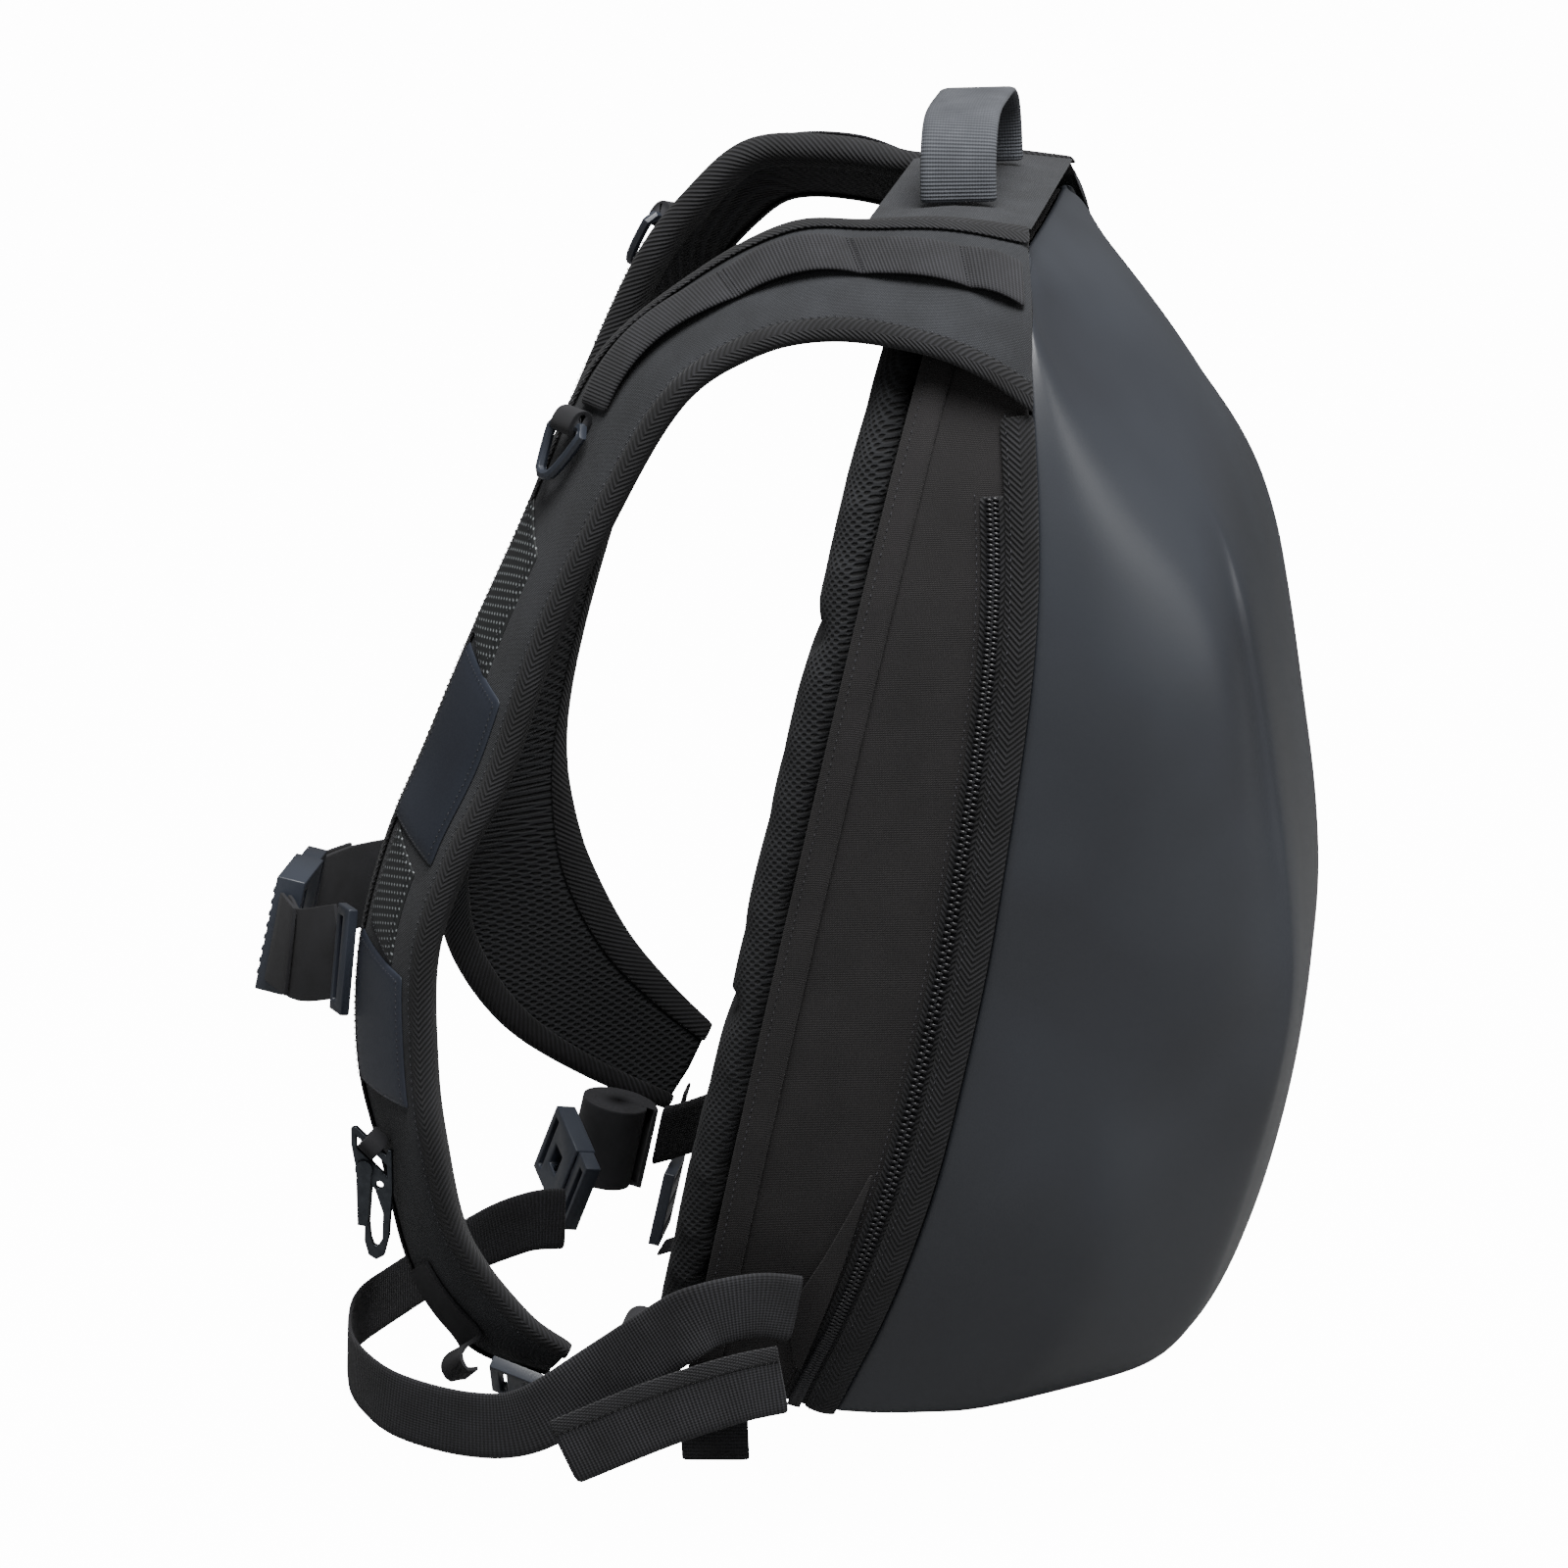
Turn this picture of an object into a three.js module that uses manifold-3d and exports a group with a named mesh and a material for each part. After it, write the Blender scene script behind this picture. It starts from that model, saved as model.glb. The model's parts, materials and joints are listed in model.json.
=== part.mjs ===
// A hard shell backpack, as it is worn: a moulded shell zipped to a fabric body with a padded back,
// an S-curved harness with a sternum strap, a haul handle and a webbing hip belt.
// Millimetres, +Z up. The wearer stands on the +Y side and the shell bulges towards -Y.
// Everything is drawn upright against the wearer's back plane, and the whole pack then leans back.
import * as THREE from "three";
import { mergeVertices } from "three/addons/utils/BufferGeometryUtils.js";
import Module from "manifold-3d";

const wasm = await Module();
wasm.setup();

// The pack
const PACK_HEIGHT = 475; // level of the base edge to the top of the yoke
const PACK_WIDTH = 320; // across the widest part of the shell's rim
const PACK_DEPTH = 222; // bearing plane of the back pads to the foremost point of the shell
const LEAN = THREE.MathUtils.degToRad(12.5); // the pack leans back over its level base
const HALF_WIDTH = PACK_WIDTH / 2;
const GAP = 0.4; // running clearance between pieces that are sewn or seated together

// Walls and pads
const SHELL_WALL = 3;
const CLOTH = 2; // sewn fabric with its lining
const TAPE = 1.2; // woven binding tape
const WEBBING = 1.6; // thickness of all webbing
const REAR_SEAM = 27; // the seam of the rear compartment, in front of the bearing plane
const PANEL_THICK = 16.5; // padded back panel
const BINDING_WIDTH = 12;
const ZIP_WIDTH = 7;
const ZIP_HEIGHT = 1.8;

// The harness
const STRAP_REACH = 150; // how far the shoulder straps stand out from the back plane
const STRAP_PAD = 12; // thickness of a shoulder strap
const DAISY_WIDTH = 22; // webbing sewn along a shoulder strap
const HANDLE_WIDTH = 30;
const HANDLE_SPAN = 100; // between the legs of the haul handle
const HANDLE_RISE = 33;
const HANDLE_THICK = 3.5;
const STERNUM_WIDTH = 38;
const BELT_WIDTH = 28;
const TAB_WIDTH = 20; // short webbing tabs

// Hardware
const RING_WIDTH = 30; // plastic D-ring, outside
const RING_DROP = 27;
const RING_WIRE = 4.4;
const HOOK_LENGTH = 48; // metal snap hook, from the top of its frame to the nose
const HOOK_PLATE = 3;
const GATE_PLATE = 1.2;
const LOCK_LENGTH = 34; // ladder lock
const LOCK_WIDTH = 32;
const LOCK_THICK = 5;
const BUCKLE_LENGTH = 36; // the body of the sternum buckle
const BUCKLE_THICK = 12;
const BUCKLE_SIDE = 6; // how much wider than its webbing a buckle is, on each side
const BUCKLE_WALL = 2.2;

const V = (x, y, z) => new THREE.Vector3(x, y, z);

// Shares of the named sizes, turned into places: across, towards the wearer, up.
const inPack = ([x, y, z]) => V(x * HALF_WIDTH, y * PACK_DEPTH, z * PACK_HEIGHT);
const inHarness = ([x, y, z]) => V(x * HALF_WIDTH, y * STRAP_REACH, z * PACK_HEIGHT);

// The level base rises towards the shell in the upright frame, by the lean.
const baseLevel = (y) => -(y + 0.347 * PACK_DEPTH) * Math.tan(LEAN);

// Materials
const finish = (color, roughness, metalness = 0) =>
  new THREE.MeshStandardMaterial({ color, roughness, metalness });
const SHELL_FINISH = finish(0x4a4e54, 0.55);
const TWILL_FINISH = finish(0x1b1b1d, 0.95);
const BODY_FINISH = finish(0x232224, 0.92);
const NYLON_FINISH = finish(0x3c3e42, 0.85);
const MESH_FINISH = finish(0x151517, 0.97);
const WEBBING_FINISH = finish(0x222225, 0.9);
const LEATHER_FINISH = finish(0x2b303a, 0.6);
const REFLECTIVE_FINISH = finish(0x2a2c2d, 0.6);
const PLASTIC_FINISH = finish(0x23262b, 0.45);
const METAL_FINISH = finish(0x6b7175, 0.35, 0.9);

// A closed surface from its corners and triangles, turned to face out.
function closedGeometry(points, faces) {
  let volume = 0;
  for (const [a, b, c] of faces) {
    volume += points[a].dot(V(0, 0, 0).crossVectors(points[b], points[c]));
  }
  const order = volume < 0 ? faces.map(([a, b, c]) => [a, c, b]) : faces;
  const geometry = new THREE.BufferGeometry();
  geometry.setAttribute(
    "position",
    new THREE.Float32BufferAttribute(points.flatMap((p) => [p.x, p.y, p.z]), 3),
  );
  geometry.setIndex(order.flat());
  return geometry;
}

// A solid through a row of rings, each with as many corners: capped, or closed on itself.
function loft(rings, closed = false) {
  const size = rings[0].length;
  const points = rings.flat();
  const faces = [];
  const last = closed ? rings.length : rings.length - 1;
  for (let i = 0; i < last; i++) {
    const next = (i + 1) % rings.length;
    for (let j = 0; j < size; j++) {
      const k = (j + 1) % size;
      const [a, b, c, d] = [i * size + j, i * size + k, next * size + k, next * size + j];
      faces.push([a, b, c], [a, c, d]);
    }
  }
  if (!closed) {
    const end = (rings.length - 1) * size;
    for (let j = 1; j < size - 1; j++) {
      faces.push([0, j + 1, j], [end, end + j, end + j + 1]);
    }
  }
  return closedGeometry(points, faces);
}

// A wall between two grids of points with the same rows and columns.
function wall(outer, inner) {
  const rows = outer.length;
  const columns = outer[0].length;
  const points = [...outer.flat(), ...inner.flat()];
  const faces = [];
  const corner = (i, j, side) => side * rows * columns + i * columns + j;
  const quad = (a, b, c, d) => faces.push([a, b, c], [a, c, d]);
  for (let i = 0; i < rows - 1; i++) {
    for (let j = 0; j < columns - 1; j++) {
      quad(corner(i, j, 0), corner(i, j + 1, 0), corner(i + 1, j + 1, 0), corner(i + 1, j, 0));
      quad(corner(i, j, 1), corner(i + 1, j, 1), corner(i + 1, j + 1, 1), corner(i, j + 1, 1));
    }
  }
  for (let j = 0; j < columns - 1; j++) {
    quad(corner(0, j + 1, 0), corner(0, j, 0), corner(0, j, 1), corner(0, j + 1, 1));
    const end = rows - 1;
    quad(corner(end, j, 0), corner(end, j + 1, 0), corner(end, j + 1, 1), corner(end, j, 1));
  }
  for (let i = 0; i < rows - 1; i++) {
    quad(corner(i, 0, 0), corner(i + 1, 0, 0), corner(i + 1, 0, 1), corner(i, 0, 1));
    const end = columns - 1;
    quad(corner(i + 1, end, 0), corner(i, end, 0), corner(i, end, 1), corner(i + 1, end, 1));
  }
  return closedGeometry(points, faces);
}

// Normals of a grid of points, from its neighbouring rows and columns.
function gridNormals(grid) {
  return grid.map((row, i) =>
    row.map((_, j) => {
      const down = grid[Math.max(i - 1, 0)][j];
      const up = grid[Math.min(i + 1, grid.length - 1)][j];
      const left = row[Math.max(j - 1, 0)];
      const right = row[Math.min(j + 1, row.length - 1)];
      const along = V(0, 0, 0).subVectors(up, down);
      const across = V(0, 0, 0).subVectors(right, left);
      return V(0, 0, 0).crossVectors(across, along).normalize();
    }),
  );
}

// Boolean joins and cuts of closed geometries
function solidOf(geometry) {
  const bare = geometry.clone();
  bare.deleteAttribute("normal");
  bare.deleteAttribute("uv");
  const merged = mergeVertices(bare, 1e-4);
  return new wasm.Manifold(
    new wasm.Mesh({
      numProp: 3,
      vertProperties: new Float32Array(merged.attributes.position.array),
      triVerts: new Uint32Array(merged.index.array),
    }),
  );
}

function geometryOf(solid) {
  const mesh = solid.getMesh();
  const geometry = new THREE.BufferGeometry();
  geometry.setAttribute("position", new THREE.BufferAttribute(new Float32Array(mesh.vertProperties), 3));
  geometry.setIndex(new THREE.BufferAttribute(new Uint32Array(mesh.triVerts), 1));
  return geometry;
}

const joined = (first, ...others) =>
  geometryOf(others.reduce((sum, other) => sum.add(solidOf(other)), solidOf(first)));
const cut = (first, ...others) =>
  geometryOf(others.reduce((rest, other) => rest.subtract(solidOf(other)), solidOf(first)));

const box = (width, depth, height, x = 0, y = 0, z = 0) =>
  new THREE.BoxGeometry(width, depth, height).translate(x, y, z);

// A smooth line through points, read at a place counted in points.
function smoothLine(points) {
  const curve = new THREE.CatmullRomCurve3(points, false, "catmullrom", 0.5);
  return (place) => curve.getPoint(THREE.MathUtils.clamp(place / (points.length - 1), 0, 1));
}

const steps = (from, to, count) =>
  Array.from({ length: count + 1 }, (_, i) => from + ((to - from) * i) / count);

// A flat band of constant width along a line of places, each with the direction of its width.
function band(rows, width, thickness, count, closed = false) {
  const centres = closed
    ? new THREE.CatmullRomCurve3(rows.map((row) => row.at), true, "catmullrom", 0.5)
    : new THREE.CatmullRomCurve3(rows.map((row) => row.at), false, "catmullrom", 0.5);
  const widths = new THREE.CatmullRomCurve3(rows.map((row) => row.across), closed, "catmullrom", 0.5);
  const shares = closed ? steps(0, 1, count).slice(0, -1) : steps(0, 1, count);
  const rings = shares.map((share) => {
    const centre = centres.getPoint(share);
    const along = centres.getTangent(share);
    const across = widths.getPoint(share);
    across.addScaledVector(along, -across.dot(along)).normalize();
    const up = V(0, 0, 0).crossVectors(along, across).normalize();
    return [[-1, -1], [1, -1], [1, 1], [-1, 1]].map(([s, t]) =>
      centre.clone().addScaledVector(across, (s * width) / 2).addScaledVector(up, (t * thickness) / 2),
    );
  });
  return loft(rings, closed);
}

// The rim where the shell meets the fabric body, from the base to the yoke, and the shell's sections.
// Lengths are shares of the half width, the depth and the height. The crease, foot and edge are
// places on a section: across, as shares of the rim's half width, and forward, as shares of the way
// from the rim to the front.
const SHELL_ROWS = [
  { rim: [0.7, 0.347, 0.0], front: [0.347, null], crease: [0.9, 0.6], foot: [0.62, 0.89], edge: [0.48, 0.95] },
  { rim: [0.775, 0.347, 0.0], front: [0.577, null], crease: [0.9, 0.6], foot: [0.62, 0.89], edge: [0.48, 0.95] },
  { rim: [0.825, 0.352, 0.013], front: [0.775, null], crease: [0.9, 0.6], foot: [0.62, 0.89], edge: [0.48, 0.95] },
  { rim: [0.863, 0.37, 0.051], front: [0.9, 0.072], crease: [0.9, 0.6], foot: [0.62, 0.89], edge: [0.48, 0.95] },
  { rim: [0.906, 0.392, 0.097], front: [0.964, 0.118], crease: [0.9, 0.6], foot: [0.62, 0.89], edge: [0.48, 0.95] },
  { rim: [0.944, 0.414, 0.16], front: [0.991, 0.185], crease: [0.9, 0.6], foot: [0.62, 0.89], edge: [0.48, 0.95] },
  { rim: [0.975, 0.432, 0.244], front: [1.0, 0.263], crease: [0.9, 0.59], foot: [0.62, 0.89], edge: [0.49, 0.955] },
  { rim: [0.994, 0.435, 0.337], front: [0.993, 0.347], crease: [0.84, 0.6], foot: [0.6, 0.91], edge: [0.5, 0.97] },
  { rim: [1.0, 0.432, 0.432], front: [0.968, 0.427], crease: [0.74, 0.756], foot: [0.56, 0.935], edge: [0.5, 0.985] },
  { rim: [1.0, 0.419, 0.526], front: [0.919, 0.509], crease: [0.72, 0.795], foot: [0.56, 0.93], edge: [0.5, 0.985] },
  { rim: [0.994, 0.405, 0.611], front: [0.856, 0.592], crease: [0.725, 0.82], foot: [0.56, 0.915], edge: [0.5, 0.975] },
  { rim: [0.981, 0.387, 0.686], front: [0.788, 0.676], crease: [0.73, 0.83], foot: [0.575, 0.9], edge: [0.51, 0.965] },
  { rim: [0.956, 0.36, 0.754], front: [0.721, 0.745], crease: [0.74, 0.78], foot: [0.585, 0.89], edge: [0.53, 0.96] },
  { rim: [0.919, 0.324, 0.817], front: [0.644, 0.806], crease: [0.79, 0.6], foot: [0.58, 0.85], edge: [0.5, 0.92] },
  { rim: [0.863, 0.284, 0.874], front: [0.518, 0.876], crease: [0.85, 0.4], foot: [0.64, 0.63], edge: [0.52, 0.74] },
  { rim: [0.775, 0.243, 0.926], front: [0.365, 0.938], crease: [0.9, 0.2], foot: [0.74, 0.4], edge: [0.58, 0.56] },
  { rim: [0.66, 0.209, 0.956], front: [0.255, 0.966], crease: [0.95, 0.2], foot: [0.88, 0.4], edge: [0.8, 0.55] },
  { rim: [0.5, 0.194, 0.975], front: [0.198, 0.979], crease: [0.95, 0.2], foot: [0.88, 0.4], edge: [0.8, 0.55] },
];

const rimPoints = SHELL_ROWS.map(({ rim: [x, y, z] }) => inPack([x, -y, z]));

function sectionPlaces({ crease, foot, edge }) {
  const bulge = 0.035; // the side panel is slightly crowned
  const side = [1 / 3, 2 / 3].map((s) => [
    1 + (crease[0] - 1) * s + bulge * Math.sin(Math.PI * s),
    crease[1] * s + bulge * Math.sin(Math.PI * s),
  ]);
  const crown = (x) => edge[1] + (1 - edge[1]) * (1 - (x / edge[0]) ** 2);
  const middle = edge[0] / 2;
  return [[1, 0], ...side, crease, foot, edge, [middle, crown(middle)], [0, 1]];
}

function shellSection(row, index) {
  const rim = rimPoints[index];
  const frontY = -row.front[0] * PACK_DEPTH;
  const frontZ = row.front[1] === null ? baseLevel(frontY) : row.front[1] * PACK_HEIGHT;
  const half = sectionPlaces(row).map(([across, forward]) =>
    V(rim.x * across, rim.y + (frontY - rim.y) * forward, rim.z + (frontZ - rim.z) * forward),
  );
  const mirrored = half.slice(0, -1).map((p) => V(-p.x, p.y, p.z));
  return [...mirrored, ...half.reverse()];
}

function makeShell() {
  const outer = SHELL_ROWS.map(shellSection);
  const normals = gridNormals(outer);
  const middle = normals[8][7];
  const inward = middle.y < 0 ? -1 : 1;
  const inner = outer.map((row, i) =>
    row.map((p, j) => {
      const open = i === 0 || i === outer.length - 1 || j === 0 || j === row.length - 1;
      const way = normals[i][j].clone();
      if (open) {
        way.setY(0).normalize();
      }
      return p.clone().addScaledVector(way, inward * SHELL_WALL);
    }),
  );
  return wall(outer, inner);
}

// The loop of the rim, and places on the fabric body behind it, which narrows towards the wearer.
const rimLoop = [
  ...rimPoints,
  V(0, rimPoints.at(-1).y, rimPoints.at(-1).z),
  ...rimPoints.map((p) => V(-p.x, p.y, p.z)).reverse(),
  V(0, rimPoints[0].y, rimPoints[0].z),
];

function rimOutward(index) {
  const before = rimLoop[(index + rimLoop.length - 1) % rimLoop.length];
  const after = rimLoop[(index + 1) % rimLoop.length];
  return V(before.z - after.z, 0, after.x - before.x).normalize().negate();
}

const BODY_NARROWING = { across: 0.05, up: 0.083 };

function bodyPoint(index, y, out) {
  const rim = rimLoop[index];
  const way = THREE.MathUtils.clamp((y - rim.y) / -rim.y, 0, 1);
  const level = PACK_HEIGHT * BODY_NARROWING.up * way * Math.max(0, rim.z / PACK_HEIGHT - 0.2);
  const place = V(rim.x * (1 - BODY_NARROWING.across * way), y, rim.z - level);
  return place.addScaledVector(rimOutward(index), out);
}

function bodyRing(front, back, outside, inside, from = 0, to = rimLoop.length, closed = true) {
  const rings = [];
  for (let i = from; i < to; i++) {
    const index = i % rimLoop.length;
    const y0 = front(rimLoop[index]);
    const y1 = back(rimLoop[index]);
    rings.push([
      bodyPoint(index, y0, outside),
      bodyPoint(index, y1, outside),
      bodyPoint(index, y1, inside),
      bodyPoint(index, y0, inside),
    ]);
  }
  return loft(rings, closed);
}

// The open stretch of the loop that the zip and the tape follow: down one side, under and up the other.
const ZIP_TOP_ROW = 13;
const BINDING_TOP_ROW = 14;
const runTo = (row) => [2 * SHELL_ROWS.length - row, 2 * SHELL_ROWS.length + 3 + row];

const makeGusset = () =>
  bodyRing((p) => p.y + 2 * GAP, () => -REAR_SEAM - GAP / 2, 0, -CLOTH);
const makeRearGusset = () =>
  bodyRing(() => -REAR_SEAM + GAP / 2, () => -PANEL_THICK - GAP, TAPE, -CLOTH);
const makeBinding = () =>
  bodyRing((p) => p.y + GAP, (p) => p.y + BINDING_WIDTH, GAP + TAPE, GAP, ...runTo(BINDING_TOP_ROW), false);
const makeZip = () =>
  bodyRing(
    (p) => p.y + BINDING_WIDTH + GAP,
    (p) => p.y + BINDING_WIDTH + GAP + ZIP_WIDTH,
    GAP + ZIP_HEIGHT,
    GAP,
    ...runTo(ZIP_TOP_ROW),
    false,
  );

// The padded back panel: a slab with rounded edges, cut by a spine channel and two cross channels.
const PANEL_RINGS = [
  { y: -PANEL_THICK, share: 0.985 },
  { y: -PANEL_THICK * 0.5, share: 1.01 },
  { y: -PANEL_THICK * 0.15, share: 1.0 },
  { y: 0, share: 0.965 },
];
const CHANNEL_WIDTH = 24;
const CHANNEL_DEPTH = 5;

function makeBackPanel() {
  const middle = V(0, 0, 0.45 * PACK_HEIGHT);
  const rings = PANEL_RINGS.map(({ y, share }) =>
    rimLoop.map((_, index) => {
      const edge = bodyPoint(index, -PANEL_THICK, -CLOTH);
      return V(edge.x * share, y, middle.z + (edge.z - middle.z) * share);
    }),
  );
  const slab = loft(rings);
  const spine = box(CHANNEL_WIDTH, 2 * CHANNEL_DEPTH, PACK_HEIGHT * 1.2, 0, 0, middle.z);
  const crossings = [0.33, 0.66].map((share) =>
    box(PACK_WIDTH, 2 * CHANNEL_DEPTH, CHANNEL_WIDTH * 0.7, 0, 0, share * PACK_HEIGHT),
  );
  return cut(slab, spine, ...crossings);
}

// Shoulder straps. Each row is a place along the strap: the edge by the neck and the edge by the arm,
// as shares of the half width, the straps' reach and the pack's height, then the thickness as a
// share of the pad and the crown as a share of the strap's own width.
const FLANK_ROWS = [
  { neck: [0.54, -0.29, 0.998], arm: [0.9, -0.43, 0.873], thick: 0.22, crown: 0.09 },
  { neck: [0.525, -0.068, 0.99], arm: [0.885, -0.271, 0.893], thick: 0.5, crown: 0.08 },
  { neck: [0.505, 0.132, 0.972], arm: [0.86, -0.099, 0.9], thick: 0.8, crown: 0.06 },
];
const LEFT_ROWS = [
  ...FLANK_ROWS,
  { neck: [0.475, 0.335, 0.952], arm: [0.825, 0.115, 0.892], thick: 1, crown: 0.04 },
  { neck: [0.45, 0.559, 0.887], arm: [0.812, 0.303, 0.866], thick: 1, crown: 0.04 },
  { neck: [0.438, 0.762, 0.795], arm: [0.8, 0.47, 0.808], thick: 1, crown: 0.04 },
  { neck: [0.438, 0.852, 0.651], arm: [0.787, 0.604, 0.677], thick: 1, crown: 0.04 },
  { neck: [0.45, 0.92, 0.548], arm: [0.787, 0.669, 0.579], thick: 1, crown: 0.04 },
  { neck: [0.45, 0.981, 0.442], arm: [0.812, 0.698, 0.473], thick: 1, crown: 0.04 },
  { neck: [0.45, 1.03, 0.357], arm: [0.825, 0.76, 0.393], thick: 1, crown: 0.04 },
  { neck: [0.45, 1.04, 0.259], arm: [0.838, 0.792, 0.31], thick: 1, crown: 0.04 },
  { neck: [0.487, 0.974, 0.162], arm: [0.863, 0.735, 0.226], thick: 1, crown: 0.04 },
  { neck: [0.537, 0.847, 0.088], arm: [0.912, 0.667, 0.163], thick: 1, crown: 0.04 },
  { neck: [0.625, 0.685, 0.003], arm: [0.912, 0.545, 0.084], thick: 0.9, crown: 0.04 },
  { neck: [0.688, 0.485, -0.04], arm: [0.925, 0.329, 0.03], thick: 0.75, crown: 0.04 },
  { neck: [0.713, 0.255, -0.042], arm: [0.938, 0.19, 0.012], thick: 0.55, crown: 0.04 },
];
const RIGHT_ROWS = [
  ...FLANK_ROWS,
  { neck: [0.475, 0.335, 0.972], arm: [0.812, 0.25, 0.913], thick: 1, crown: 0.04 },
  { neck: [0.45, 0.586, 0.952], arm: [0.812, 0.455, 0.9], thick: 1, crown: 0.04 },
  { neck: [0.438, 0.728, 0.892], arm: [0.812, 0.568, 0.866], thick: 1, crown: 0.04 },
  { neck: [0.438, 0.818, 0.829], arm: [0.812, 0.655, 0.812], thick: 1, crown: 0.04 },
  { neck: [0.438, 0.885, 0.733], arm: [0.812, 0.725, 0.724], thick: 1, crown: 0.04 },
  { neck: [0.438, 0.941, 0.632], arm: [0.812, 0.77, 0.615], thick: 1, crown: 0.04 },
  { neck: [0.438, 0.99, 0.518], arm: [0.812, 0.795, 0.493], thick: 1, crown: 0.04 },
  { neck: [0.45, 1.03, 0.412], arm: [0.812, 0.79, 0.4], thick: 1, crown: 0.04 },
  { neck: [0.53, 1.04, 0.29], arm: [0.812, 0.753, 0.338], thick: 1, crown: 0.04 },
  { neck: [0.63, 1.01, 0.2], arm: [0.825, 0.672, 0.278], thick: 1, crown: 0.04 },
  { neck: [0.688, 0.93, 0.138], arm: [0.838, 0.587, 0.236], thick: 1, crown: 0.04 },
  { neck: [0.725, 0.745, 0.083], arm: [0.85, 0.462, 0.188], thick: 0.9, crown: 0.04 },
  { neck: [0.775, 0.487, 0.05], arm: [0.863, 0.32, 0.15], thick: 0.75, crown: 0.04 },
  { neck: [0.8, 0.24, 0.035], arm: [0.87, 0.17, 0.118], thick: 0.55, crown: 0.04 },
];

// A strap's outer face as a function: along it in rows, across it from neck to arm, and off it.
function strapFace(side, rows) {
  const place = (share) => inHarness([side * share[0], share[1], share[2]]);
  const neck = smoothLine(rows.map((row) => place(row.neck)));
  const arm = smoothLine(rows.map((row) => place(row.arm)));
  const extra = smoothLine(rows.map((row) => V(row.thick, row.crown, 0)));
  const frame = (t) => {
    const a = neck(t);
    const b = arm(t);
    const ahead = neck(t + 0.05).add(arm(t + 0.05));
    const along = ahead.sub(neck(t - 0.05).add(arm(t - 0.05))).normalize();
    const across = V(0, 0, 0).subVectors(b, a);
    const out = V(0, 0, 0).crossVectors(along, across).multiplyScalar(-side).normalize();
    return { a, b, along, across, out };
  };
  const at = (t, s, off) => {
    const { a, across, out } = frame(t);
    const crown = across.length() * extra(t).y * (1 - (2 * s - 1) ** 2);
    return a.clone().addScaledVector(across, s).addScaledVector(out, crown + off);
  };
  return { at, frame, thick: (t) => STRAP_PAD * extra(t).x, last: rows.length - 1, side };
}

const straps = { left: strapFace(-1, LEFT_ROWS), right: strapFace(1, RIGHT_ROWS) };

// Places of a strap's section: across it, and through its thickness from the outer face.
const STRAP_SECTION = [
  [0.0, -0.3], [0.04, -0.06], [0.2, 0], [0.5, 0], [0.78, 0], [0.93, -0.06],
  [0.96, -0.25], [0.92, -0.5], [0.84, -0.88], [0.7, -1], [0.3, -1], [0.1, -0.92], [0.0, -0.62],
];

function makeStrap(strap) {
  const rings = steps(0, strap.last, strap.last * 2).map((t) =>
    STRAP_SECTION.map(([s, depth]) => strap.at(t, s, depth * strap.thick(t))),
  );
  return loft(rings);
}

// A layer lying on a strap: from one row to another, across part of it, and raised off it.
function layer(strap, { rows, across, from, thick, lift = () => 0, count, columns = 2 }) {
  const grid = (off) =>
    steps(rows[0], rows[1], count).map((t) =>
      steps(across[0], across[1], columns).map((s) => strap.at(t, s, off + lift(t))),
    );
  return wall(grid(from + thick), grid(from));
}

// The yoke between the straps, from the shell's rim to the neck edge, under the haul handle.
const NECK_ROW = 2; // the strap row where the neck opening begins
const YOKE_DEPTHS = [-0.3, -0.62]; // its faces, as places through the straps' thickness
const yokeEdge = (t, depth) => straps.right.at(t, 0, depth * straps.right.thick(t));

function makeYoke() {
  const [top, bottom] = YOKE_DEPTHS.map((depth) =>
    steps(0, NECK_ROW, 6).map((t) => {
      const edge = yokeEdge(t, depth);
      return steps(-1, 1, 6).map((s) => V(s * (edge.x - 2.5 * GAP), edge.y, edge.z));
    }),
  );
  return wall(top, bottom);
}

// The haul handle: a stiff band in an arch, square to the yoke it stands on.
const HANDLE_ROW = 0.95;
const HANDLE_ARCH = [
  [-1.0, 0], [-1.0, 0.42], [-0.95, 0.7], [-0.8, 0.92], [-0.5, 1.0],
  [0, 1.0], [0.5, 1.0], [0.8, 0.92], [0.95, 0.7], [1.0, 0.42], [1.0, 0],
];

function makeHandle() {
  const seat = yokeEdge(HANDLE_ROW, YOKE_DEPTHS[0]);
  const ahead = yokeEdge(HANDLE_ROW + 0.2, YOKE_DEPTHS[0]).sub(seat).normalize();
  const up = V(0, -ahead.z, ahead.y).normalize();
  const rows = HANDLE_ARCH.map(([x, z]) => ({
    at: V((x * HANDLE_SPAN) / 2, seat.y, seat.z).addScaledVector(up, z * HANDLE_RISE + 2.2 * GAP),
    across: ahead,
  }));
  return band(rows, HANDLE_WIDTH, HANDLE_THICK, 28);
}

// Webbing sewn along a strap, raised a little between its bar-tacks.
const DAISY = { from: 0.15, to: 5.25, tacks: [0.9, 2.35, 3.75], rise: 2.2, place: 0.38 };
function daisyLift(t) {
  const ends = [DAISY.from, ...DAISY.tacks, DAISY.to];
  const index = Math.max(1, ends.findIndex((end) => t <= end + 1e-9));
  const share = (t - ends[index - 1]) / (ends[index] - ends[index - 1]);
  return DAISY.rise * Math.sin(Math.PI * THREE.MathUtils.clamp(share, 0, 1));
}

function makeDaisy(strap) {
  const grid = (off) =>
    steps(DAISY.from, DAISY.to, 20).map((t) => {
      const half = DAISY_WIDTH / strap.frame(t).across.length() / 2;
      return steps(DAISY.place - half, DAISY.place + half, 2).map((s) =>
        strap.at(t, s, off + daisyLift(t)),
      );
    });
  return wall(grid(GAP + WEBBING), grid(GAP));
}

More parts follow.
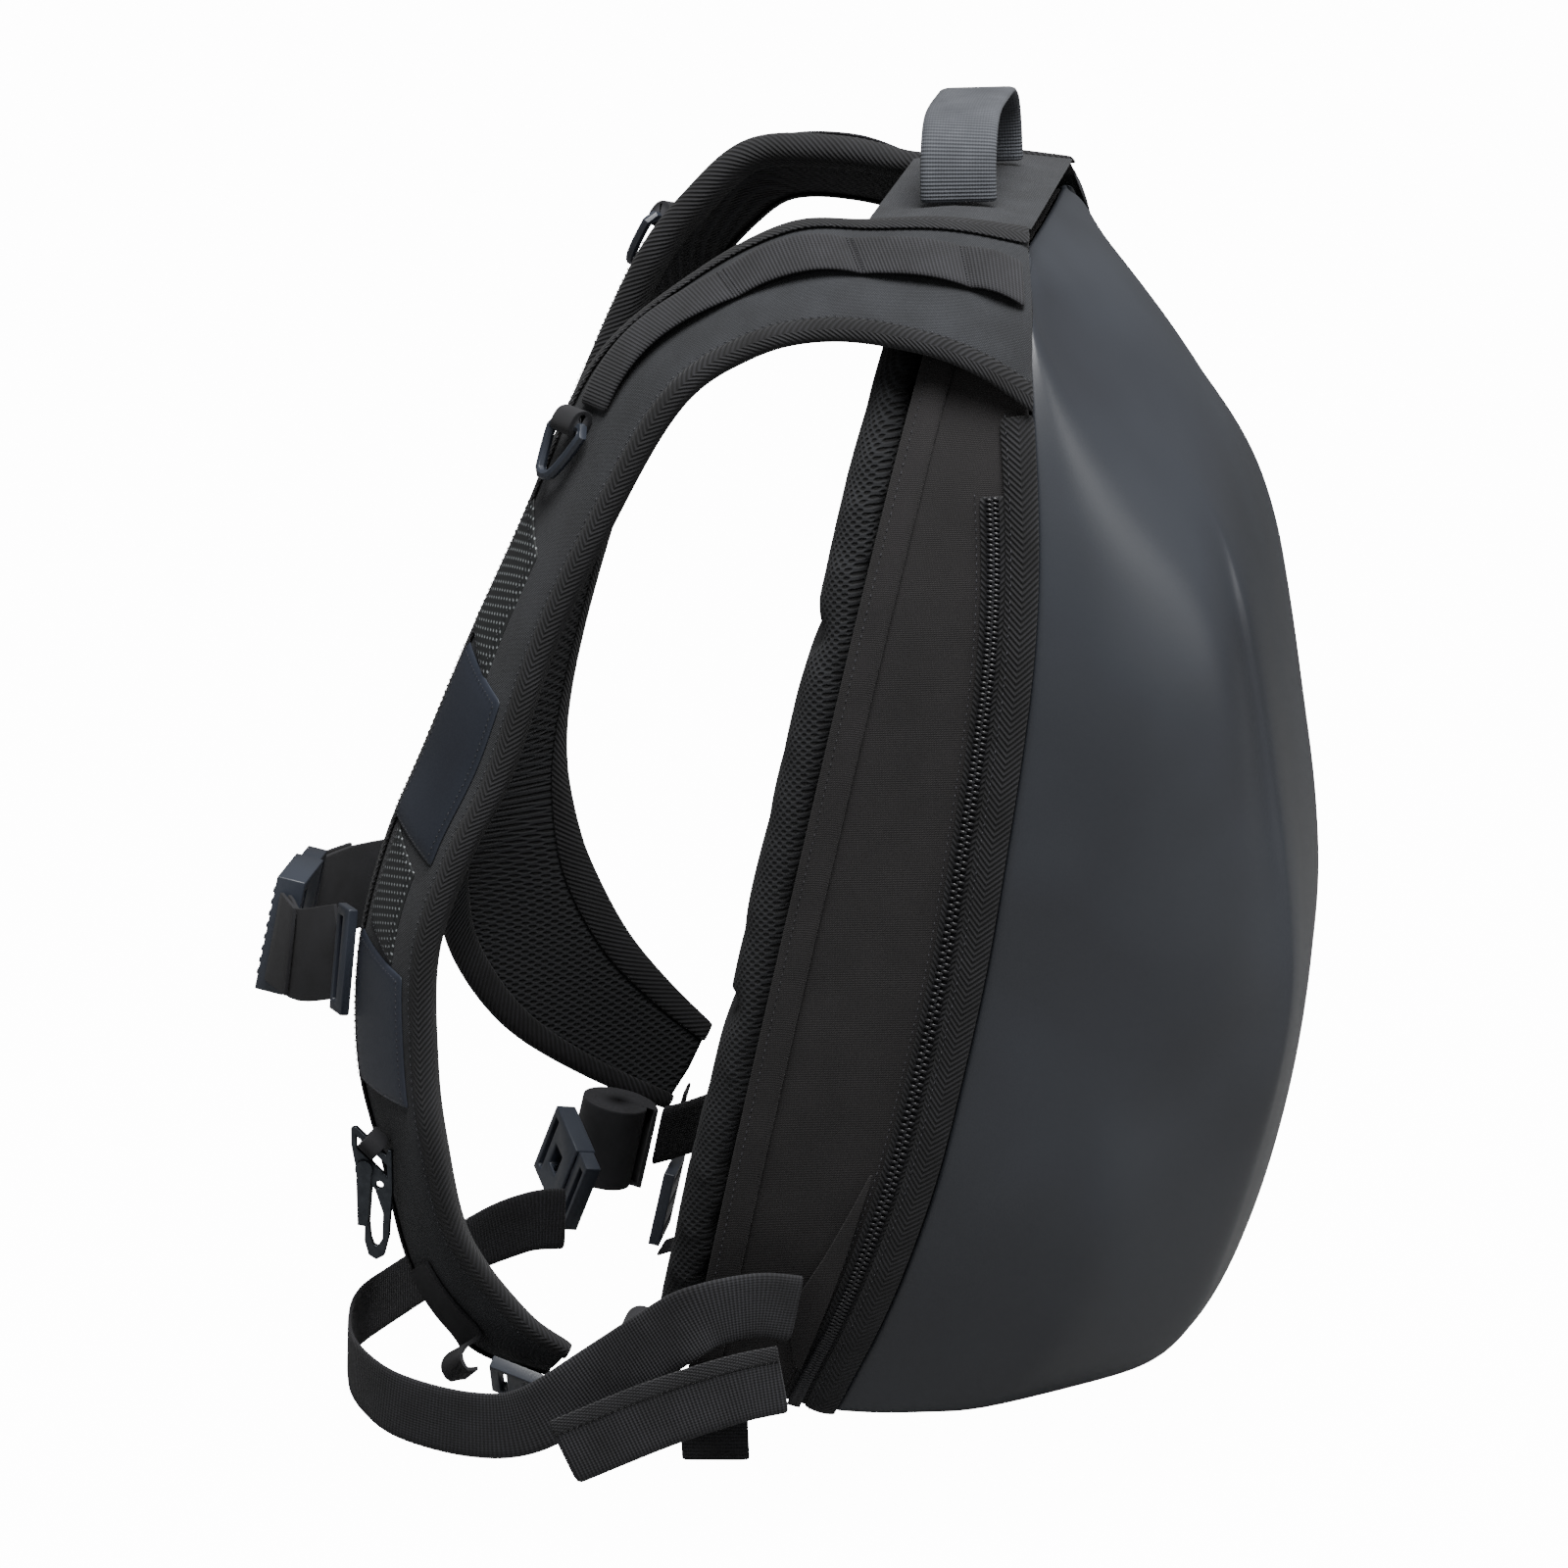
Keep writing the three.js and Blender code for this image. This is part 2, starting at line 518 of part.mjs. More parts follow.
// A band of webbing closed around a bar and an anchor, both along the same axis.
function barLoop(bar, anchor, axis, width, barRadius, anchorRadius) {
  const way = V(0, 0, 0).subVectors(anchor, bar).normalize();
  const side = V(0, 0, 0).crossVectors(axis, way).normalize();
  const half = (centre, radius, start) =>
    steps(start, start + Math.PI, 6).map((angle) =>
      [-0.5, 0.5].map((turn) => {
        const reach = radius + turn * WEBBING;
        return centre
          .clone()
          .addScaledVector(way, reach * Math.sin(angle))
          .addScaledVector(side, reach * Math.cos(angle));
      }),
    );
  const line = [...half(bar, barRadius, Math.PI), ...half(anchor, anchorRadius, 0)];
  const rings = line.map(([inside, outside]) =>
    [[inside, -1], [inside, 1], [outside, 1], [outside, -1]].map(([p, s]) =>
      p.clone().addScaledVector(axis, (s * width) / 2),
    ),
  );
  return loft(rings, true);
}

// The loop at the end of the daisy webbing, and the D-ring hanging through it.
const RING_LOOP_RADIUS = RING_WIRE / 2 + 0.6 + WEBBING / 2;
const RING_LOOP_LENGTH = 3.4;
function ringRow(strap) {
  const end = strap.at(DAISY.to, DAISY.place, 0);
  const pace = end.distanceTo(strap.at(DAISY.to + 0.2, DAISY.place, 0)) / 0.2;
  return DAISY.to + (RING_LOOP_RADIUS + RING_LOOP_LENGTH + WEBBING + 2 * GAP) / pace;
}
const ringAxis = (strap) => strap.frame(ringRow(strap)).across.clone().normalize();
const ringCentre = (strap) =>
  strap.at(ringRow(strap), DAISY.place - 0.06, 1.5 * GAP + WEBBING / 2 + RING_LOOP_RADIUS);

function makeRingLoop(strap) {
  const { along } = strap.frame(ringRow(strap));
  const bar = ringCentre(strap);
  const anchor = bar.clone().addScaledVector(along, -RING_LOOP_LENGTH);
  return barLoop(bar, anchor, ringAxis(strap), DAISY_WIDTH - 6, RING_LOOP_RADIUS, RING_LOOP_RADIUS);
}

const RING_OUTLINE = [
  [-0.85, 0], [0.85, 0], [1.0, 0.12], [0.78, 0.5], [0.45, 0.9], [0.2, 1.0],
  [-0.2, 1.0], [-0.45, 0.9], [-0.78, 0.5], [-1.0, 0.12],
];

function makeRing(strap) {
  const { along, out } = strap.frame(ringRow(strap));
  const bar = ringAxis(strap);
  const centre = ringCentre(strap);
  const half = (RING_WIDTH - RING_WIRE) / 2;
  const drop = RING_DROP - RING_WIRE;
  const outline = RING_OUTLINE.map(([x, y]) =>
    centre.clone().addScaledVector(bar, x * half).addScaledVector(along, y * drop),
  );
  const rings = outline.map((p, i) => {
    const before = outline[(i + outline.length - 1) % outline.length];
    const after = outline[(i + 1) % outline.length];
    const way = V(0, 0, 0).subVectors(after, before).normalize();
    const side = V(0, 0, 0).crossVectors(way, out).normalize();
    return steps(0, 1, 8).slice(0, -1).map((share) => {
      const angle = 2 * Math.PI * share;
      return p
        .clone()
        .addScaledVector(side, (RING_WIRE / 2) * Math.cos(angle))
        .addScaledVector(out, (RING_WIRE / 2) * Math.sin(angle));
    });
  });
  return loft(rings, true);
}

// Panels on the outer face of each strap, as rows along it and shares across it.
const PANELS = [
  { name: "upper_reflector", rows: [6.0, 7.15], across: [0.06, 0.52], thick: 1.1, finish: REFLECTIVE_FINISH },
  { name: "upper_patch", rows: [7.25, 8.95], across: [0.06, 0.76], thick: 1.3, finish: LEATHER_FINISH },
  { name: "lower_reflector", rows: [9.05, 9.95], across: [0.2, 0.62], thick: 1.1, finish: REFLECTIVE_FINISH },
  { name: "lower_patch", rows: [10.05, 11.4], across: [0.08, 0.76], thick: 1.3, finish: LEATHER_FINISH },
];

// A frame set square on a strap: x across it, y along it, z off its face.
function onStrap(strap, row, share, off, turn = 0) {
  const { along, across, out } = strap.frame(row);
  const x = across.clone().addScaledVector(along, -across.dot(along)).normalize();
  const matrix = new THREE.Matrix4().makeBasis(x, V(0, 0, 0).crossVectors(out, x), out);
  const spin = new THREE.Matrix4().makeRotationZ(turn);
  return matrix.multiply(spin).setPosition(strap.at(row, share, off));
}

// The sternum strap: sliders on the shoulder straps, webbing on each side and a buckle between.
const STERNUM_ROW = { "-1": 10.15, 1: 11.8 }; // on the left and on the right strap
const STERNUM_HOLD = { across: 0.0, off: 5.4 };
const SLIDER = { width: 13, length: 44, thick: 4 };
const BUCKLE_PLACE = [-0.045, 1.3, 0.213]; // its centre: shares of half width, reach and height

function makeSlider() {
  const plate = box(SLIDER.width, SLIDER.length, SLIDER.thick);
  const window = box(SLIDER.width * 0.35, SLIDER.length * 0.8, SLIDER.thick * 2, -SLIDER.width * 0.18);
  return cut(plate, window);
}

const sternumHold = (strap) =>
  V(0, 0, 0).setFromMatrixPosition(
    onStrap(strap, STERNUM_ROW[strap.side], STERNUM_HOLD.across, STERNUM_HOLD.off),
  );

// Webbing from a buckle's end at side x to its slider, with a folded-back free end on it.
const BUCKLE_HEIGHT = STERNUM_WIDTH + 2 * BUCKLE_SIDE;
const BUCKLE_TONGUE = 20;
const buckleCentre = inHarness(BUCKLE_PLACE);
const buckleReach = { "-1": BUCKLE_LENGTH / 2, 1: BUCKLE_LENGTH / 2 + 17 };

function sternumRows(side, strap) {
  const row = STERNUM_ROW[side];
  const start = buckleCentre.clone().add(V(side * (buckleReach[side] + 6 * GAP), -1.5, 0));
  const end = sternumHold(strap).add(V(-side * (SLIDER.width / 2 + 3), 3, 0));
  const rise = strap.at(row - 0.2, 0, 0).sub(strap.at(row + 0.2, 0, 0)).normalize();
  const middle = start.clone().lerp(end, 0.45).add(V(0, 3, 0)).setZ(start.z + 1);
  return [
    { at: start, across: V(0, 0, 1) },
    { at: middle, across: V(0, 0.1, 1) },
    { at: end, across: V(0, rise.y, rise.z).normalize() },
  ];
}

const makeSternumWebbing = (side, strap) => band(sternumRows(side, strap), STERNUM_WIDTH, WEBBING, 10);

function makeSternumTail(side, strap) {
  const [start, middle] = sternumRows(side, strap);
  const lifted = [start, middle].map(({ at, across }) => ({
    at: at.clone().add(V(-0.3 * side * WEBBING, 2.2 * WEBBING, 0)),
    across,
  }));
  return band(lifted, STERNUM_WIDTH, WEBBING, 4);
}

function makeBuckleBody() {
  const body = box(BUCKLE_LENGTH, BUCKLE_THICK, BUCKLE_HEIGHT);
  const inside = box(
    BUCKLE_TONGUE + 2 * GAP + 1,
    BUCKLE_THICK - 2 * BUCKLE_WALL,
    BUCKLE_HEIGHT - 4 * BUCKLE_WALL,
    (BUCKLE_LENGTH - BUCKLE_TONGUE) / 2,
  );
  const slot = box(4.5, BUCKLE_THICK * 2, STERNUM_WIDTH + 2, -BUCKLE_LENGTH / 2 + 6);
  return cut(body, inside, slot);
}

function makeBuckleTongue() {
  const start = BUCKLE_LENGTH / 2 + GAP;
  const plate = box(16.5, BUCKLE_THICK * 0.7, BUCKLE_HEIGHT - 2, start + 8.25);
  const height = BUCKLE_HEIGHT - 4 * BUCKLE_WALL - 2 * GAP;
  const depth = BUCKLE_THICK - 2 * BUCKLE_WALL - 2 * GAP;
  const prong = (z) => box(BUCKLE_TONGUE + 1, depth, height * 0.26, start - BUCKLE_TONGUE / 2 + 0.9, 0, z);
  const slot = box(4.5, BUCKLE_THICK * 2, STERNUM_WIDTH + 2, start + 11);
  return cut(joined(plate, prong(height * 0.37), prong(-height * 0.37)), slot);
}

// The metal snap hook, drawn flat: x towards the shell, y up from its nose, as shares of its length.
const HOOK_FRAME = [
  [0.15, 0.96], [0.15, 0.62], [0.115, 0.21], [0.07, 0.04], [0, 0],
  [-0.065, 0.04], [-0.098, 0.165], [-0.092, 0.31], [-0.05, 0.325], [-0.038, 0.19],
  [-0.015, 0.13], [0.015, 0.12], [0.055, 0.19], [0.065, 0.41], [0.0, 0.62], [-0.05, 0.68], [-0.15, 0.69],
  [-0.165, 0.83], [-0.195, 1.0], [-0.195, 1.15], [-0.15, 1.16], [0.1, 0.92], [0.115, 0.97],
];
const HOOK_SLOT = [[-0.15, 1.08], [0.105, 0.835], [0.105, 0.735], [-0.15, 0.98]];
const HOOK_EYE = [0.04, 0.66];
const HOOK_BAR = [[-0.15, 1.12], [0.105, 0.875]]; // the bar over the slot
const RIVET = { at: [-0.085, 0.8], radius: 1.2, head: 3.6 };
const GATE = [[-0.15, 0.8], [-0.145, 0.31], [-0.06, 0.3], [-0.02, 0.78]];
const GATE_WEB = [[-0.15, 0.64], [-0.147, 0.35], [-0.125, 0.35], [-0.125, 0.64]];

const hookPoint = ([x, y]) => new THREE.Vector2(x * HOOK_LENGTH, y * HOOK_LENGTH);
function plate(outline, thick, middle) {
  const shape = new THREE.Shape(outline.map(hookPoint));
  const geometry = new THREE.ExtrudeGeometry(shape, { depth: thick, bevelEnabled: false });
  return geometry.translate(0, 0, middle - thick / 2);
}

function rivetPin([x, y], radius, length) {
  const at = hookPoint([x, y]);
  return new THREE.CylinderGeometry(radius, radius, length, 16).rotateX(Math.PI / 2).translate(at.x, at.y, 0);
}

function makeHook() {
  const eye = rivetPin(HOOK_EYE, 1.5, 20);
  const bore = rivetPin(RIVET.at, RIVET.radius + GAP, 20);
  return cut(plate(HOOK_FRAME, HOOK_PLATE, 0), plate(HOOK_SLOT, 20, 0), eye, bore);
}

const GATE_SIDE = HOOK_PLATE / 2 + GAP + GATE_PLATE / 2;
function makeGate() {
  const head = (at) => rivetPin(RIVET.at, RIVET.head, GATE_PLATE).translate(0, 0, at);
  const side = (at) => joined(plate(GATE, GATE_PLATE, at), head(at));
  const web = plate(GATE_WEB, 2 * GATE_SIDE, 0);
  const pin = rivetPin(RIVET.at, RIVET.radius, 2 * GATE_SIDE);
  return joined(side(-GATE_SIDE), side(GATE_SIDE), web, pin);
}

const HOOK_ROW = 11.5; // the strap row where the hook's tab is sewn
const HOOK_PLACE = [-0.705, 0.775, 0.019]; // its nose: shares of half width, reach and height
const hookFrame = new THREE.Matrix4()
  .makeRotationX(-LEAN)
  .multiply(new THREE.Matrix4().makeBasis(V(0, -1, 0), V(0, 0, 1), V(-1, 0, 0)))
  .setPosition(inHarness(HOOK_PLACE));

function makeHookTab(strap) {
  const [a, b] = HOOK_BAR.map((p) => {
    const flat = hookPoint(p);
    return V(flat.x, flat.y, 0).applyMatrix4(hookFrame);
  });
  const axis = V(0, 0, 0).subVectors(b, a).normalize();
  const bar = a.clone().lerp(b, 0.5);
  const anchor = strap.at(HOOK_ROW, 0.33, 13.2);
  anchor.addScaledVector(axis, -axis.dot(V(0, 0, 0).subVectors(anchor, bar)));
  return barLoop(bar, anchor, axis, TAB_WIDTH * 0.4, HOOK_PLATE / 2 + 2.4, 2.2);
}

// Ladder locks, where the adjusting webbing meets the foot of each strap.
function makeLock() {
  const body = box(LOCK_WIDTH, LOCK_LENGTH, LOCK_THICK);
  const slots = [-0.32, 0.02, 0.34].map((share) =>
    box(BELT_WIDTH - 2, 3.6, LOCK_THICK * 3, 0, share * LOCK_LENGTH),
  );
  return cut(body, ...slots);
}

// Webbing that hangs free, as rows of its centre line and the direction of its width.
// Centres: shares of the half width, the straps' reach and the height.
const WEBBING_RUNS = {
  left_hip_belt: {
    width: BELT_WIDTH,
    count: 44,
    rows: [
      [-0.99, -0.37, 0.108, 0, 0.05, 1],
      [-1.04, -0.26, 0.107, 0, 0.05, 1],
      [-1.082, -0.133, 0.09, 0, 0.1, 1],
      [-1.06, -0.027, 0.053, 0, 0.15, 1],
      [-1.02, 0.1, 0.004, 0, 0.18, 1],
      [-1.03, 0.25, -0.043, 0, 0.18, 1],
      [-1.025, 0.4, -0.06, 0, 0.2, 1],
      [-0.969, 0.593, -0.068, 0, 0.2, 1],
      [-0.875, 0.713, -0.068, 0, 0.22, 1],
      [-0.75, 0.785, -0.066, 0, 0.2, 1],
      [-0.562, 0.815, -0.061, 0, 0.15, 1],
      [-0.375, 0.76, -0.053, 0, 0.1, 1],
      [-0.125, 0.613, -0.026, 0, 0.05, 1],
      [-0.02, 0.48, -0.004, 0, 0.05, 1],
      [0.025, 0.38, 0.003, 0, 0.05, 1],
    ],
  },
  right_hip_belt: {
    width: BELT_WIDTH,
    count: 24,
    rows: [
      [0.99, -0.37, 0.108, 0, 0.05, 1],
      [1.04, -0.22, 0.1, 0, 0.05, 1],
      [1.05, -0.02, 0.07, 0, 0.1, 1],
      [0.95, 0.09, 0.045, 0, 0.1, 1],
      [0.8, 0.105, 0.037, 0, 0.05, 1],
      [0.66, 0.17, 0.035, 0, 0, 1],
      [0.56, 0.23, 0.034, 0, 0, 1],
    ],
  },
  hip_tail: {
    width: BELT_WIDTH,
    count: 12,
    rows: [
      [-1.05, -0.38, 0.052, 0, 0.3, 1],
      [-1.085, -0.26, 0.036, 0, 0.35, 1],
      [-1.115, -0.083, 0.002, 0, 0.5, 1],
      [-1.128, 0.133, -0.05, 0, 0.6, 1],
    ],
  },
  hanging_flap: {
    width: TAB_WIDTH + 8,
    count: 6,
    rows: [
      [-0.66, -0.18, -0.014, 0, 1, 0.1],
      [-0.66, -0.2, -0.05, 0, 1, 0.25],
      [-0.665, -0.23, -0.086, 0, 1, 0.35],
    ],
  },
  left_lower_webbing: {
    width: TAB_WIDTH,
    count: 10,
    rows: [
      [-0.85, -0.2, -0.013, 1, 0, 0],
      [-0.87, -0.03, -0.022, 1, 0, 0],
      [-0.88, 0.06, -0.031, 1, 0, 0.05],
      [-0.885, 0.12, -0.036, 1, 0, 0.1],
    ],
  },
  right_lower_webbing: {
    width: TAB_WIDTH,
    count: 12,
    rows: [
      [0.8, -0.2, -0.013, 1, 0, 0],
      [0.81, 0.0, -0.04, 1, 0, 0],
      [0.81, 0.1, -0.085, 1, 0, 0],
      [0.815, 0.17, -0.103, 1, 0, 0],
    ],
  },
  right_foot_webbing: {
    width: TAB_WIDTH,
    count: 8,
    rows: [
      [0.825, 0.2, 0.055, 1, 0, 0.3],
      [0.82, 0.205, 0.02, 1, 0, 0.1],
      [0.815, 0.2, -0.012, 1, 0, 0],
    ],
  },
};

function makeRun({ rows, width, count }) {
  const placed = rows.map(([x, y, z, ...across]) => ({ at: inHarness([x, y, z]), across: V(...across) }));
  return band(placed, width, WEBBING, count);
}

// The webbing tab on the foot of the left strap, which curls over to its ladder lock.
function makeFootTab(strap) {
  const onFace = steps(13.0, 13.75, 3).map((t) => ({ t, s: 0.32, off: GAP + WEBBING / 2 + 0.7 }));
  const curl = [
    { t: 13.9, s: 0.32, off: 4 },
    { t: 13.86, s: 0.32, off: 10 },
    { t: 13.9, s: 0.32, off: 15.5 },
    { t: 14.03, s: 0.32, off: 17.5 },
    { t: 14.12, s: 0.32, off: 14 },
  ];
  const rows = [...onFace, ...curl].map(({ t, s, off }) => ({
    at: strap.at(t, s, off),
    across: strap.frame(t).across.clone().normalize(),
  }));
  return band(rows, TAB_WIDTH, WEBBING, 22);
}

// The rolled-up end of the right hip belt, kept as a bundle around a level core.
function makeBundle() {
  const turns = 2.6;
  const centre = inHarness([0.43, 0.35, 0.035]);
  const rows = steps(0, 1, 44).map((share) => {
    const angle = -turns * 2 * Math.PI * share + 2.2;
    const radius = 4 + 13 * share;
    return { at: centre.clone().add(V(radius * Math.cos(angle), radius * Math.sin(angle), 0)), across: V(0, 0, 1) };
  });
  return band(rows, BELT_WIDTH + 8, WEBBING + 0.4, 60);
}

// The hip buckle: its body, and the tongue that holds the left belt's folded end.
const HIP_BUCKLE = { place: [0.2, 0.44, 0.035], turn: 0.55, rise: 0.3 };
const hipBuckleFrame = new THREE.Matrix4()
  .makeRotationZ(HIP_BUCKLE.turn)
  .multiply(new THREE.Matrix4().makeRotationY(-HIP_BUCKLE.rise))
  .setPosition(inHarness(HIP_BUCKLE.place));
const HIP_BODY = { length: 30, thick: 9, height: BELT_WIDTH + 6, tongue: 15 };

function makeHipBuckleBody() {
  const { length, thick, height, tongue } = HIP_BODY;
  const body = box(length, thick, height);
  const inside = box(tongue + 2 * GAP + 1, thick - 3.2, height - 6, -(length - tongue) / 2);
  const slot = box(4, thick * 2, BELT_WIDTH - 2, length / 2 - 5);
  const windows = box(9, thick * 2, height * 0.3, -1, 0, 0);
  return cut(body, inside, slot, windows);
}

function makeHipBuckleTongue() {
  const { length, thick, height, tongue } = HIP_BODY;
  const start = -length / 2 - GAP;
  const base = box(11, thick * 0.75, height, start - 5.5);
  const prong = (z) => box(tongue + 1, thick - 3.2 - 2 * GAP, 5, start + tongue / 2 - 0.6, 0, z);
  const slot = box(3.6, thick * 2, BELT_WIDTH - 2, start - 7);
  return cut(joined(base, prong(height * 0.26), prong(-height * 0.26)), slot);
}

// Fabric wings at the base corners, which the hip belt is sewn to: level and rear edge of each row.
const WING_ROWS = [
  { level: 0.04, front: 0.26, rear: 0.3 },
  { level: 0.075, front: 0.26, rear: 0.38 },
  { level: 0.11, front: 0.26, rear: 0.4 },
  { level: 0.15, front: 0.26, rear: 0.35 },
  { level: 0.2, front: 0.26, rear: 0.3 },
  { level: 0.235, front: 0.26, rear: 0.27 },
];

function makeWing(side) {
  const rims = rimPoints.slice(2, 9);
  const grid = (off) =>
    WING_ROWS.map(({ level, front, rear }) => {
      const z = level * PACK_HEIGHT;
      const upper = Math.max(1, rims.findIndex((p) => p.z >= z));
      const [below, above] = [rims[upper - 1], rims[upper]];
      const rim = below.clone().lerp(above, (z - below.z) / (above.z - below.z));
      return steps(front, rear, 2).map((way) => {
        const x = rim.x * (1 - BODY_NARROWING.across * way) + 6.5 * GAP + off;
        return V(side * x, rim.y * (1 - way) - 3 * GAP, z);
      });
    });
  return wall(grid(TAPE), grid(0));
}

// The upright webbing loop at the left base corner.
function makeUprightLoop() {
  const axis = V(1, 0, 0);
  const top = inHarness([-0.9, 0.035, 0.042]);
  const foot = inHarness([-0.9, 0.03, 0.002]);
  return barLoop(top, foot, axis, BELT_WIDTH - 6, 6, 6);
}

// The pack and its parts
const pack = new THREE.Group();
const add = (name, geometry, material, matrix = new THREE.Matrix4()) => {
  const mesh = new THREE.Mesh(geometry.applyMatrix4(matrix), material);
  mesh.name = name;
  pack.add(mesh);
  return mesh;
};

add("shell", makeShell(), SHELL_FINISH);
add("rim_binding", makeBinding(), TWILL_FINISH);
add("main_zip", makeZip(), WEBBING_FINISH);
add("main_gusset", makeGusset(), BODY_FINISH);
add("rear_gusset", makeRearGusset(), BODY_FINISH);
add("back_panel", makeBackPanel(), MESH_FINISH);
add("harness_yoke", makeYoke(), NYLON_FINISH);
add("haul_handle", makeHandle(), WEBBING_FINISH);
for (const [name, strap] of Object.entries(straps)) {
  add(`${name}_shoulder_strap`, makeStrap(strap), NYLON_FINISH);
  add(`${name}_daisy_webbing`, makeDaisy(strap), WEBBING_FINISH);
  add(`${name}_ring_loop`, makeRingLoop(strap), WEBBING_FINISH);
  add(`${name}_ring`, makeRing(strap), PLASTIC_FINISH);
  for (const panel of PANELS) {
    const shape = layer(strap, { ...panel, from: 1.6 * GAP, count: 6 });
    add(`${name}_${panel.name}`, shape, panel.finish);
  }
  const row = STERNUM_ROW[strap.side];
  const hold = onStrap(strap, row, STERNUM_HOLD.across, STERNUM_HOLD.off);
  add(`${name}_sternum_slider`, makeSlider(), PLASTIC_FINISH, hold);
  add(`${name}_sternum_webbing`, makeSternumWebbing(strap.side, strap), WEBBING_FINISH);
  add(`${name}_sternum_tail`, makeSternumTail(strap.side, strap), WEBBING_FINISH);
  add(`${name}_belt_wing`, makeWing(strap.side), TWILL_FINISH);
}
const buckleFrame = new THREE.Matrix4().setPosition(buckleCentre);
add("sternum_buckle_body", makeBuckleBody(), PLASTIC_FINISH, buckleFrame);
add("sternum_buckle_tongue", makeBuckleTongue(), PLASTIC_FINISH, buckleFrame);
add("snap_hook", makeHook(), METAL_FINISH, hookFrame);
add("hook_gate", makeGate(), METAL_FINISH, hookFrame);
add("hook_tab", makeHookTab(straps.left), WEBBING_FINISH);
add("left_ladder_lock", makeLock(), PLASTIC_FINISH, onStrap(straps.left, 14.82, 0.34, 10));
add("left_foot_tab", makeFootTab(straps.left), WEBBING_FINISH);
add("upright_loop", makeUprightLoop(), WEBBING_FINISH);
add("belt_bundle", makeBundle(), WEBBING_FINISH);
add("hip_buckle_body", makeHipBuckleBody(), PLASTIC_FINISH, hipBuckleFrame);
add("hip_buckle_tongue", makeHipBuckleTongue(), PLASTIC_FINISH, hipBuckleFrame);
const rightLock = new THREE.Matrix4().makeRotationX(Math.PI / 2).setPosition(inHarness([0.815, 0.185, -0.054]));
add("right_ladder_lock", makeLock(), PLASTIC_FINISH, rightLock);
for (const [name, run] of Object.entries(WEBBING_RUNS)) {
  add(name, makeRun(run), WEBBING_FINISH);
}

pack.position.set(0, 0, -PACK_HEIGHT / 2);
const backpack = new THREE.Group();
backpack.add(pack);
backpack.rotation.x = LEAN;
export default backpack;
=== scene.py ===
# %% [markdown]
# # Hard shell backpack
# A lesson in dressing a mechanical model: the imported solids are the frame, and each soft or moulded
# piece is rebuilt here with its own surface detail. Lengths in the tables are millimetres or shares
# of named sizes, in the pack's upright frame. `placed` turns them into metres in the part's frame.

# %% Setup
import json
import math
from collections import namedtuple

import bmesh
import bpy
from mathutils import Matrix, Vector


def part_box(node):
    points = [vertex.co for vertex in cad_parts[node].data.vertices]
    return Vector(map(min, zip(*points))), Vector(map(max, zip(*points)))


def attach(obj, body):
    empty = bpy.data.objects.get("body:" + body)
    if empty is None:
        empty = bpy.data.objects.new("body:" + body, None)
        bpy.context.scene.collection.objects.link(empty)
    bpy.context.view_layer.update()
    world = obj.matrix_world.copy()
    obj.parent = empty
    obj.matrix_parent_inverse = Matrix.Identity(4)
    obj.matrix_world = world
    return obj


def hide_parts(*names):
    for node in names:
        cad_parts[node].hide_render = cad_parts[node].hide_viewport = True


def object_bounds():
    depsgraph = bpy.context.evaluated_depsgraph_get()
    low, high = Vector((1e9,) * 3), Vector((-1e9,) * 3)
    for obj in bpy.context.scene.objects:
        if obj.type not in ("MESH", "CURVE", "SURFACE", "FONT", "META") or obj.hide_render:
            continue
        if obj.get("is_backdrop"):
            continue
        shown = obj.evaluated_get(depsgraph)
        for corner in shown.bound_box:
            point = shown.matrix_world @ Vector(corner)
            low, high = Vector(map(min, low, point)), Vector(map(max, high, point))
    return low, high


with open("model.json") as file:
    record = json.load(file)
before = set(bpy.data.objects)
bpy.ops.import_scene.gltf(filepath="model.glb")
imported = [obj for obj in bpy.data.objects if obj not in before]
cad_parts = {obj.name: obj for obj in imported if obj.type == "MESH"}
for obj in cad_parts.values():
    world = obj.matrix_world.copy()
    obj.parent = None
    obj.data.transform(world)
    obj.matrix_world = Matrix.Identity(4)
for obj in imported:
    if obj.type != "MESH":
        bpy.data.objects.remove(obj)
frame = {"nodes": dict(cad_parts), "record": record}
cad_low, cad_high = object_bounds()
BODY_OF = {
    node: body
    for body, nodes in frame["record"]["behaviour"]["bodies"].items()
    for node in nodes
}

# %% [markdown]
# ## Sizes
# The same named sizes and tables as the solids have, so that every piece lies where its solid does.

# %% Sizes and tables
PACK_HEIGHT = 475
HALF_WIDTH = 160
PACK_DEPTH = 222
STRAP_REACH = 150
STRAP_PAD = 12
LEAN = math.radians(12.5)
MIDDLE = 237.5
REAR_SEAM = 27
PANEL_THICK = 16.5
BINDING_WIDTH = 12
GAP = 0.4
BELT_WIDTH = 28
TAB_WIDTH = 20
DAISY_WIDTH = 22
WEBBING = 1.6

